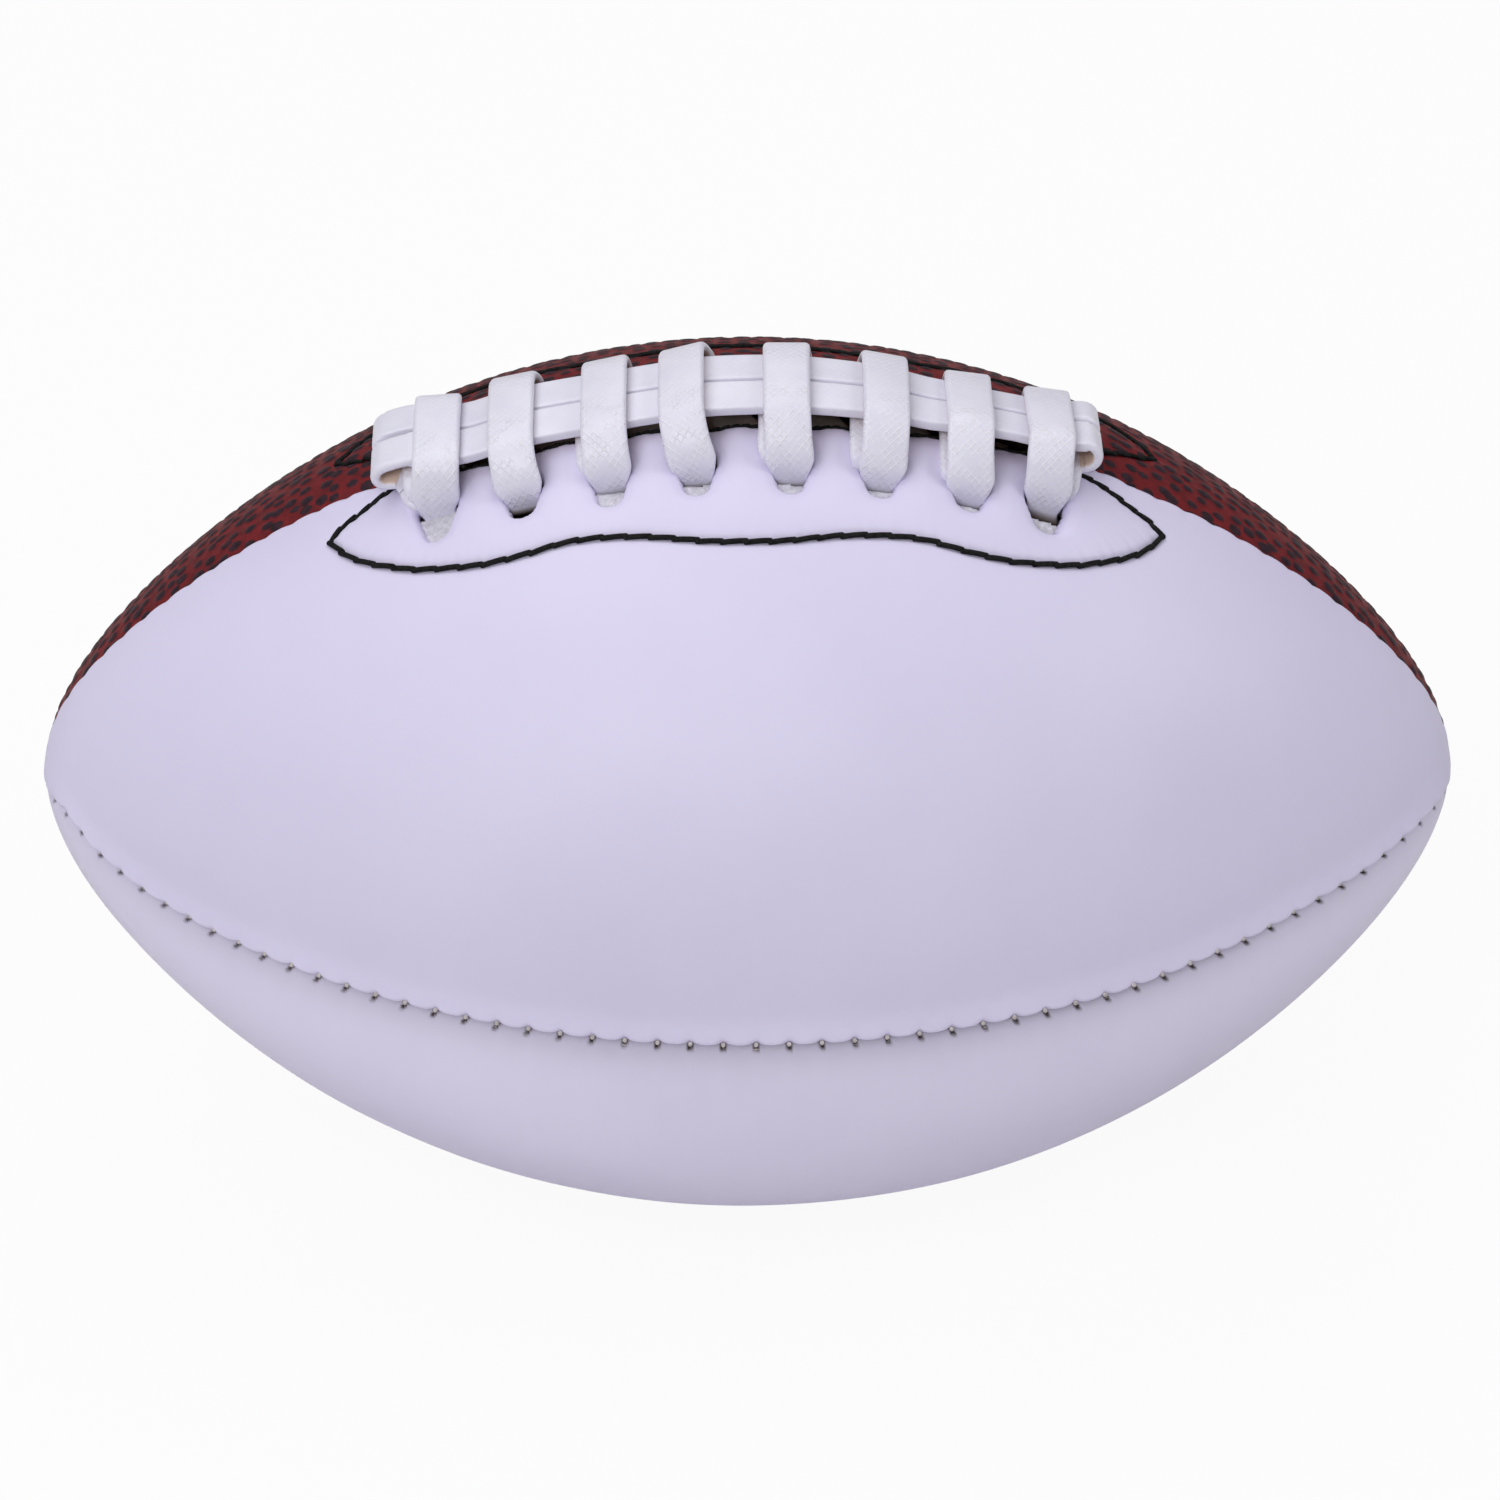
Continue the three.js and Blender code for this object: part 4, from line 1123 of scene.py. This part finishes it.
def make_lip_stitches(name, side):
    stations = np.linspace(-1, 1, LIP_PLACES) * station_at(SLIT_LENGTH / 2 - SLIT_END)
    x = outline(stations)[0]
    across = band_offset(x) + side * (slit_half(stations) + LIP_INSET)
    padding = WHITE_PADDING if side > 0 else BROWN_PADDING
    relief = lacing_shape(x, side * across, padding)[0] + rolled(np.array(LIP_INSET), SEAM_ROLL) + LIP_LIFT
    line = np.stack([x, across], 1)
    row = thread_row(line, relief, LIP_STITCH, LIP_THREAD, side * LIP_SLANT, LIP_OVERLAP)
    add_piece(f"lip_stitches_{name}", *row, BLACK_THREAD, "black_thread", f"lip_thread_{name}")


def make_stitches():
    for name, side in (("front", 1), ("rear", -1)):
        make_facing_stitches(name, side)
        make_lip_stitches(name, side)
    slit_end = float(station_at(SLIT_LENGTH / 2 + SLIT_END))
    for name, angle, line, first, last, ends in (
        ("front", QUARTER, front_seam, -SEAM_END, SEAM_END, FRONT_ENDS),
        ("bottom", 2 * QUARTER, seam_line, -SEAM_END, SEAM_END, SUNK_ENDS),
        ("rear", 3 * QUARTER, seam_line, -SEAM_END, SEAM_END, SUNK_ENDS),
        ("lace_left", 0.0, seam_line, -SEAM_END, -slit_end, SUNK_ENDS),
        ("lace_right", 0.0, seam_line, slit_end, SEAM_END, SUNK_ENDS),
    ):
        add_piece(f"seam_stitches_{name}", *seam_stitches(angle, line, first, last, ends),
                  PALE_THREAD, "seam_thread", f"seam_thread_{name}")


# Lace
def lace_leg(edge, reach, row, level):
    """A leg of the lace, from its level at the band's edge down into its hole, as across and height."""
    t = np.linspace(0, 1, 6)[:, None]
    start, leave = np.array([(edge + reach[0], level), (edge + reach[1], level - LEG_DIP)])
    fall, end = np.array([(row, LEG_FALL * level), (row, LEG_END)])
    return (1 - t) ** 3 * start + 3 * t * (1 - t) ** 2 * leave + 3 * t ** 2 * (1 - t) * fall + t ** 3 * end


def under_band(x):
    return band_height + float(band_rise(x)) - over_lift - SEAT_GAP


def under_route(x, lean, level, row, places):
    """The route of a short run that starts under the band, from its places down into a hole."""
    places = [*places, *((row, height) for height in HIDDEN_ENDS)]
    shares = [min(1, max(0, height / level)) for _, height in places]
    return np.array([(x + lean * share, *place, 0.0, CROSS, 0.0, 0.0)
                     for share, place in zip(shares, places)])


def end_strap(end):
    """Where the lace comes out from under the band beside a loop, down to the end hole."""
    x = end_place(end) + STRAP_SHIFT[end]
    edge = float(band_offset(x)) + band_side
    level = under_band(x)
    leg = lace_leg(edge, STRAP_LEG, STRAP_ROW, level)
    places = [*((edge - back, level) for back in STRAP_START), *leg]
    return under_route(x, STRAP_LEAN[end], level, STRAP_ROW, places)


def second_pass(index):
    """Where the lace runs under the band beside a cross-lace, from under the band down its front hole."""
    x = HOLE_PLACES[index] + DOUBLE_SHIFT
    middle = float(band_offset(x))
    level = under_band(x)
    row = LACE_ROW - over_lift
    places = [(middle - 4, level), (middle + 2, level), (middle + 6.5, level - LEG_DIP),
              (middle + 9.5, 0.78 * level), (row - 0.6, 0.4 * level), (row, LEG_END)]
    return under_route(x, 0.0, level, row, places)


def lace_route():
    """The whole lace as rows of x, across, height, turn of its width, kind of run, tilt and pitch."""
    route = []
    state = {"turn": 0.0}
    corner = (1 - math.sqrt(0.5)) * LACE_BEND
    curve = [(0, LACE_BEND), (corner, corner), (LACE_BEND, 0)]

    def go(x, across, height, kind, tilt=0.0, pitch=0.0):
        route.append((x, across, height, state["turn"], kind, tilt, pitch))

    def tail(x, across, places):
        """A tucked end inside the ball."""
        for back, lift in places:
            go(x, across - back, INNER_LACE + lift, INSIDE)

    def inner_run(start, end, depths, change):
        """From one hole to another inside the ball, from one depth to the other where it may change."""
        way = math.copysign(1, end[1] - start[1])
        for back, lift in curve:
            go(start[0], start[1] + way * back, depths[0] + lift, INSIDE)
        first = start[1] + way * LACE_BEND
        last = end[1] - way * LACE_BEND
        for across in np.linspace(first, last, 7)[1:-1]:
            deeper = smoothstep(way * change[0], way * change[1], way * across)
            x = start[0] + (end[0] - start[0]) * (across - first) / (last - first)
            go(x, across, depths[0] + (depths[1] - depths[0]) * deeper, INSIDE)
        for back, lift in curve[::-1]:
            go(end[0], end[1] - way * back, depths[1] + lift, INSIDE)

    def cross_lace(index):
        """Up from a front hole, over the band and down to the rear hole."""
        x = HOLE_PLACES[index]
        top_x = x + LEAN[index]
        middle = float(band_offset(top_x))
        top = band_height + float(band_rise(top_x)) + over_lift
        slope = float(band_slope(top_x)) + TOP_PITCH[index]
        row = lace_row(index)
        rise = band_side * math.sin(float(band_roll(top_x)))
        front = lace_leg(middle + band_side, FRONT_LEG, row, top + rise)[::-1]
        rear = lace_leg(middle - band_side, REAR_LEG, -row, top - rise)
        for across, height in [*front, (middle, top + CROWN), *rear]:
            share = min(1, max(0, height / top))
            go(x + share * LEAN[index], across, height, CROSS, 0.0, share * slope)

    def end_hole(end, side):
        return end_place(end) + end * END_HOLE_SHIFT[end], side * LOOP_ROW

    def end_loop(end, side, outward):
        """Up from an end hole, round a flat turn and over an upright loop on to the band, or back."""
        x = end_place(end) + end * END_SHIFT[end]
        hole_x = end_hole(end, side)[0]
        shift = float(band_offset(end * SLIT_LENGTH / 2))
        roll = float(band_roll(x))
        start = state["turn"]
        soft = (1 - math.sqrt(0.5)) * LOOP_BEND
        loose_x = (1 - LOOP_SLACK) * hole_x + LOOP_SLACK * x
        steps = [(hole_x, side * LOOP_ROW, under_height - LOOP_BEND, 0, 0.0, TURN),
                 (loose_x, side * (LOOP_ROW - soft), under_height - soft, 0, 0.0, TURN)]
        for angle in np.linspace(0, 90, 5):
            a = math.radians(angle)
            steps.append((x + end * LOOP_TURN * (1 - math.cos(a)),
                          side * (strand_side + LOOP_TURN * (1 - math.sin(a))) + shift * angle / 90,
                          under_height + LOOP_LIFT * float(smoothstep(0, 90, angle)), angle, 0.0,
                          TURN if len(steps) < TURN_PLACES else LOOP))
        for angle in np.linspace(LOOP_START, 90, 8):
            a = math.radians(angle)
            share = (angle - LOOP_START) / (90 - LOOP_START)
            rise = LOOP_LIFT + END_LOOP * (1 + math.sin(a)) + side * strand_side * math.sin(roll) * share
            steps.append((x + end * (LOOP_TURN - LOOP_INSET + END_LOOP * math.cos(a)),
                          side * strand_side + shift, under_height + rise, 90, roll * share, LOOP))
        for loop_x, across, height, turned, tilt, kind in steps if outward else steps[::-1]:
            state["turn"] = start - math.radians(turned if outward else 90 - turned)
            go(loop_x, across, height, kind, tilt)

    def strand(start, end, side):
        """One of the two strands of the band, from loop to loop."""
        for x in np.linspace(*(end_place(place) + STRAND_ENDS[place] for place in (start, end)), 25):
            roll = float(band_roll(x))
            height = band_height + float(band_rise(x)) + side * strand_side * math.sin(roll)
            go(x, side * strand_side + float(band_offset(x)), height, BAND, roll)

    tucked = [*curve, (TAIL_LENGTH, 0)]
    tail(*end_hole(-1, 1), tucked[::-1])
    end_loop(-1, 1, True)
    strand(-1, 1, 1)
    end_loop(1, 1, False)
    inner_run(end_hole(1, 1), end_hole(1, -1), (INNER_LACE, INNER_LACE), (1, -1))
    end_loop(1, -1, True)
    strand(1, -1, -1)
    end_loop(-1, -1, False)
    inner_run(end_hole(-1, -1), (HOLE_PLACES[0], END_ROW), (INNER_LACE, DEEP_LACE), (-1, END_ROW / 3))
    for index, x in enumerate(HOLE_PLACES):
        cross_lace(index)
        if index < last_hole:
            depths = [DEEP_LACE if index == crossed else INNER_LACE for crossed in (0, last_hole - 1)]
            change = (-1, LACE_ROW / 2) if index == 0 else (-LACE_ROW / 2, 0)
            target = (HOLE_PLACES[index + 1], lace_row(index + 1))
            inner_run((x, -lace_row(index)), target, depths, change)
    tail(HOLE_PLACES[last_hole], -END_ROW, tucked)
    return np.array(route)


def strip_section(corner):
    """The strip's outline with round corners, and extra points across its outer face."""
    inner = np.array([LACE_WIDTH / 2, LACE_THICKNESS / 2]) - corner
    turns = np.radians([0, 30, 60, 90])
    corners = corner * np.stack([np.cos(turns), np.sin(turns)], 1) + inner
    places = np.linspace(inner[0], -inner[0], 16)[1:-1]
    face = np.stack([places, np.full(len(places), LACE_THICKNESS / 2)], 1)
    return np.concatenate([corners, face, corners[::-1] * (-1, 1), -corners, corners[::-1] * (1, -1)])


def unit(vectors):
    return vectors / np.linalg.norm(vectors, axis=1)[:, None]


def along_axis(vectors, axis):
    return axis * np.sum(axis * vectors, axis=1)[:, None]


def spline_at(points, times):
    """Points on a centripetal curve through the given points, at times counted in spans."""
    path = carried_on(points)
    span = np.clip(times.astype(int), 0, len(points) - 2)
    t = (times - span)[:, None]
    before, start, end, after = (path[span + k] for k in range(4))
    past, here, ahead = (np.maximum(np.sqrt(np.linalg.norm(b - a, axis=1)), 1e-4)[:, None]
                         for a, b in ((before, start), (start, end), (end, after)))
    leave = here * ((start - before) / past - (end - before) / (past + here) + (end - start) / here)
    arrive = here * ((end - start) / here - (after - start) / (here + ahead) + (after - end) / ahead)
    return ((2 * t ** 3 - 3 * t ** 2 + 1) * start + (t ** 3 - 2 * t ** 2 + t) * leave
            + (-2 * t ** 3 + 3 * t ** 2) * end + (t ** 3 - t ** 2) * arrive)


def strip_axes(route, knots, times):
    """Across and height at each time, and the directions of the strip's width, thickness and outside."""
    x, across, height, turn, tilt, pitch = (
        np.interp(times, np.arange(len(route)), route[:, column]) for column in (0, 1, 2, 3, 5, 6))
    later = np.minimum(times + 0.01, len(knots) - 1)
    tangent = unit(spline_at(knots, later) - spline_at(knots, np.maximum(times - 0.01, 0)))
    ahead = unit(lace_point(x + 0.5, across, height + pitch / 2)
                 - lace_point(x - 0.5, across, height - pitch / 2))
    aside = unit(lace_point(x, across + 0.5, height) - lace_point(x, across - 0.5, height))
    wide = ahead * np.cos(turn)[:, None] + aside * np.sin(turn)[:, None]
    wide = unit(wide - along_axis(wide, tangent))
    deep = np.cross(tangent, wide)
    tilt = -tilt[:, None]
    wide, deep = (v * np.cos(tilt) + np.cross(ahead, v) * np.sin(tilt)
                  + along_axis(v, ahead) * (1 - np.cos(tilt)) for v in (wide, deep))
    outward = unit(lace_point(x, across, height + 1) - lace_point(x, across, height))
    return across, height, wide, deep, outward


def sweep(route):
    """The strip along a route: its mesh, place on the strip, and where it faces or lies inwards."""
    knots = lace_point(*route[:, :3].T)
    spans = np.linalg.norm(np.diff(knots, axis=0), axis=1)
    steps = [max(1, math.ceil(length / LACE_STEPS[int(kind)])) for length, kind in zip(spans, route[:, 4])]
    times = [np.linspace(k, k + 1, count, endpoint=False) for k, count in enumerate(steps)]
    times = np.concatenate([*times, [len(spans)]])
    centre = spline_at(knots, times)
    across, height, wide, deep, outward = strip_axes(route, knots, times)
    kind = route[np.minimum(times.astype(int), len(route) - 1), 4].astype(int)
    crossing = kind == CROSS

    at_leg = smoothstep(*LEG_START, np.abs(across))
    at_hole = at_leg * smoothstep(*PINCH_TOP, height) * smoothstep(*PINCH_BOTTOM, height)
    bulge = at_leg * crossing * hump(*LEG_BULGE, height - LEG_BULGE_HEIGHT)
    free_width = LACE_WIDTH + (PINCHED_WIDTH - LACE_WIDTH) * at_hole + bulge
    widening = np.where(np.isin(kind, (TURN, BAND, LOOP)), BAND_WIDTH, free_width) / LACE_WIDTH
    section = strip_section(LACE_CORNER)
    shape = np.where((kind == BAND)[:, None, None], strip_section(BAND_CORNER), section)
    curl = -EDGE_CURL * at_hole[:, None] * (section[None, :, 0] / (LACE_WIDTH / 2)) ** 2
    rings = (centre[:, None] + shape[..., :1] * widening[:, None, None] * wide[:, None]
             + shape[..., 1:] * deep[:, None] + curl[..., None] * outward[:, None])

    along = lengths_along(centre)
    hatch = LEAST_HATCH + (1 - LEAST_HATCH) * crossing * smoothstep(*HATCH_START, np.abs(across))
    lift = np.sum(deep * outward, axis=1)
    band = np.flatnonzero(kind == BAND)
    for row in np.flatnonzero(kind == LOOP):
        lift[row] = lift[band[np.argmin(np.abs(band - row))]]
    # How far the lace is painted darker inside the ball, as painted shade
    hidden = smoothstep(*HIDDEN_DEPTH, height)
    along, hatch, hidden = (np.repeat(values, len(section)) for values in (along, hatch, hidden))
    strip = np.stack([along, np.outer(widening, section[:, 0]).ravel(), hatch], 1)
    facing_in = np.outer(lift, section[:, 1]).ravel() < INNER_FACE * LACE_THICKNESS / 2
    return loft(rings), strip, BACK_SHARE * facing_in, hidden


def make_lace():
    passes = [*(second_pass(index) for index in DOUBLED), end_strap(-1), end_strap(1)]
    meshes, *values = zip(*(sweep(route) for route in [lace_route(), *passes]))
    lace = add_piece("lace_strip", *joined(meshes), LACE, "lace", "lace")
    for name, runs in zip(("strip", "underside", "inside"), values):
        add_values(lace, name, np.concatenate(runs))


# Felt facing behind the holes
def hole_values(special, usual):
    return np.array([special.get(index, usual) for index in range(len(HOLE_PLACES))])


def make_facings():
    """Felt behind each row of holes, narrow past a place of the facing line near its tips."""
    xs = np.arange(-FELT_REACH, FELT_REACH, FELT_STEP)
    end, narrow = FACING_OUTLINE[FELT_END]
    edge = np.interp(np.abs(xs), *zip(*FACING_OUTLINE[:FACING_TIP - 1:-1]))
    edge = np.where(np.abs(xs) > end, narrow, edge)
    lace_rows = np.array([lace_row(index) for index in range(len(HOLE_PLACES))])
    for name, side in (("front", 1), ("rear", -1)):
        lip = np.maximum(side * band_offset(xs) + slit_half(station_at(xs)) + FELT_LIP, FELT_SHARE * edge)
        across = lip[:, None] + (edge - lip)[:, None] * np.linspace(0, 1, FELT_ROWS)
        x = np.broadcast_to(xs[:, None], across.shape)
        hole = hole_distance(x, across)
        nearest = np.argmin(np.abs(x[..., None] - np.array(HOLE_PLACES)), axis=-1)
        starts = lace_rows + hole_values(FELT_START if side > 0 else {}, USUAL_START)
        sinks = hole_values(FELT_SINK if side > 0 else {}, 0.0)
        height = FELT_LEVEL + FELT_WAVE * np.sin(x * 2.1 + across * 1.3) * np.sin(across * 2.6 - x * 0.8)
        height += FELT_RISE * smoothstep(*FELT_RISE_START, hole)
        height -= sinks[nearest] * smoothstep(*FELT_SINK_START, hole)
        keep_point = (hole >= FELT_HOLE) | (across >= starts[nearest])
        top, bottom = (lace_point(x, side * across, level) for level in (height, height - FELT_THICKNESS))
        points, faces, _ = slab(top, bottom, keep_point, 1)
        if side < 0:
            faces = [face[::-1] for face in faces]
        add_piece(f"facing_felt_{name}", points, faces, FELT, "lining", f"facing_{name}")


# Valve and inner pieces
def make_valve():
    bore, plug, flange, nozzle = (size / 2 for size in (NEEDLE_BORE, VALVE_PLUG, VALVE_FLANGE, VALVE_NOZZLE))
    profile = [
        (bore, -VALVE_LENGTH), (nozzle - 0.4, -VALVE_LENGTH), (nozzle, -VALVE_LENGTH + 0.4), (nozzle, -9.3),
        (flange - 0.3, -9.1), (flange, -8.8), (flange, -8.2), (flange - 0.3, -7.9), (plug, -7.9),
        (plug, -0.95), (plug - 0.15, -0.6), (plug - 0.5, -0.42), (plug - 1.0, -0.4), (bore + 0.5, -0.4),
        (bore + 0.15, -0.55), (bore, -0.9),
    ]
    turns = np.linspace(0, math.tau, VALVE_SIDES, endpoint=False)
    ring = np.array([[(r * math.cos(t), r * math.sin(t), h) for r, h in profile] for t in turns])
    index = np.arange(VALVE_SIDES * len(profile)).reshape(VALVE_SIDES, len(profile))
    next_turn = np.roll(index, -1, axis=0)
    loops = [index, next_turn, np.roll(next_turn, -1, axis=1), np.roll(index, -1, axis=1)]
    faces = np.stack(loops, -1).reshape(-1, 4).tolist()
    turn = np.array(Vector((0, 0, 1)).rotation_difference(Vector(valve_outward)).to_matrix())
    points = ring.reshape(-1, 3) @ turn.T + valve_seat
    add_piece("valve_rubber", points, faces, RUBBER, "valve", "valve")


def dress_inner_nodes():
    linings = ("lining_white_front", "lining_white_lower", "lining_brown_lower", "lining_brown_rear")
    finishes = {"tongue": TONGUE, "bladder": RUBBER, **dict.fromkeys(linings, CLOTH)}
    for name, material in finishes.items():
        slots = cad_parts[name].data.materials
        slots.clear()
        slots.append(material)


# Studio
def area_light(name, place, size, power):
    light = bpy.data.lights.new(name, "AREA")
    light.shape = "ELLIPSE"
    light.size, light.size_y = size
    light.energy = power
    lamp = bpy.data.objects.new(name, light)
    lamp.location = place
    lamp.rotation_euler = (-Vector(place)).to_track_quat("-Z", "Y").to_euler()
    bpy.context.scene.collection.objects.link(lamp)


def white_to_camera(tree, lit, white, share, output):
    """Shows the camera a share of plain white, while other rays meet the lit shader."""
    seen = add_node(tree, "ShaderNodeLightPath").outputs["Is Camera Ray"]
    blend = add_node(tree, "ShaderNodeMixShader", Fac=math_node(tree, "MULTIPLY", seen, share))
    tree.links.new(lit.outputs[0], blend.inputs[1])
    tree.links.new(white.outputs[0], blend.inputs[2])
    tree.links.new(blend.outputs[0], tree.nodes[output].inputs["Surface"])


def make_floor():
    """A pale floor that the camera sees as near white, with the ball's soft shadow."""
    material, tree, bsdf = material_tree("floor")
    tone = ramp(tree, noise(tree, 6, 3), [(0.3, (0.78, 0.78, 0.78)), (0.7, (0.8, 0.8, 0.8))])
    tree.links.new(tone, bsdf.inputs["Base Color"])
    bsdf.inputs["Roughness"].default_value = 0.9
    glow = add_node(tree, "ShaderNodeEmission", Color=(1, 1, 1, 1), Strength=1.0)
    white_to_camera(tree, bsdf, glow, FLOOR_WHITE, "Material Output")
    level = cad_box[0].z - FLOOR_GAP
    corners = [(x * FLOOR_SIZE, y * FLOOR_SIZE, level) for x, y in ((-1, -1), (1, -1), (1, 1), (-1, 1))]
    mesh = bpy.data.meshes.new("floor")
    mesh.from_pydata(corners, [], [(0, 1, 2, 3)])
    mesh.materials.append(material)
    floor = bpy.data.objects.new("floor", mesh)
    bpy.context.scene.collection.objects.link(floor)


def make_world():
    world = bpy.data.worlds.new("studio")
    world.use_nodes = True
    tree = world.node_tree
    light = tree.nodes["Background"]
    light.inputs["Color"].default_value = (1, 1, 1, 1)
    light.inputs["Strength"].default_value = WORLD_LIGHT
    white = add_node(tree, "ShaderNodeBackground", Color=(1, 1, 1, 1), Strength=1.0)
    white_to_camera(tree, light, white, 1.0, "World Output")
    bpy.context.scene.world = world


def make_camera():
    back = Vector((0, -math.cos(CAMERA_ELEVATION), math.sin(CAMERA_ELEVATION)))
    up = Vector((0, math.sin(CAMERA_ELEVATION), math.cos(CAMERA_ELEVATION)))
    data = bpy.data.cameras.new("camera")
    data.lens = CAMERA_LENS
    data.sensor_width = CAMERA_SENSOR
    data.clip_end = CAMERA_CLIP
    camera = bpy.data.objects.new("camera", data)
    aim = (Vector((1, 0, 0)) * BALL_OFFSET[0] + up * BALL_OFFSET[1]) * MM
    camera.location = back * CAMERA_DISTANCE * MM
    turn = (aim - camera.location).to_track_quat("-Z", "Y").to_matrix().to_4x4()
    camera.matrix_world = Matrix.Translation(camera.location) @ turn @ Matrix.Rotation(CAMERA_ROLL, 4, "Z")
    bpy.context.scene.collection.objects.link(camera)
    bpy.context.scene.camera = camera


def make_studio():
    make_floor()
    make_world()
    make_camera()
    for lamp in LAMPS:
        area_light(*lamp)
    bpy.context.scene.view_settings.view_transform = "Standard"


make_cover()
make_stitches()
make_lace()
make_facings()
make_valve()
dress_inner_nodes()
make_studio()
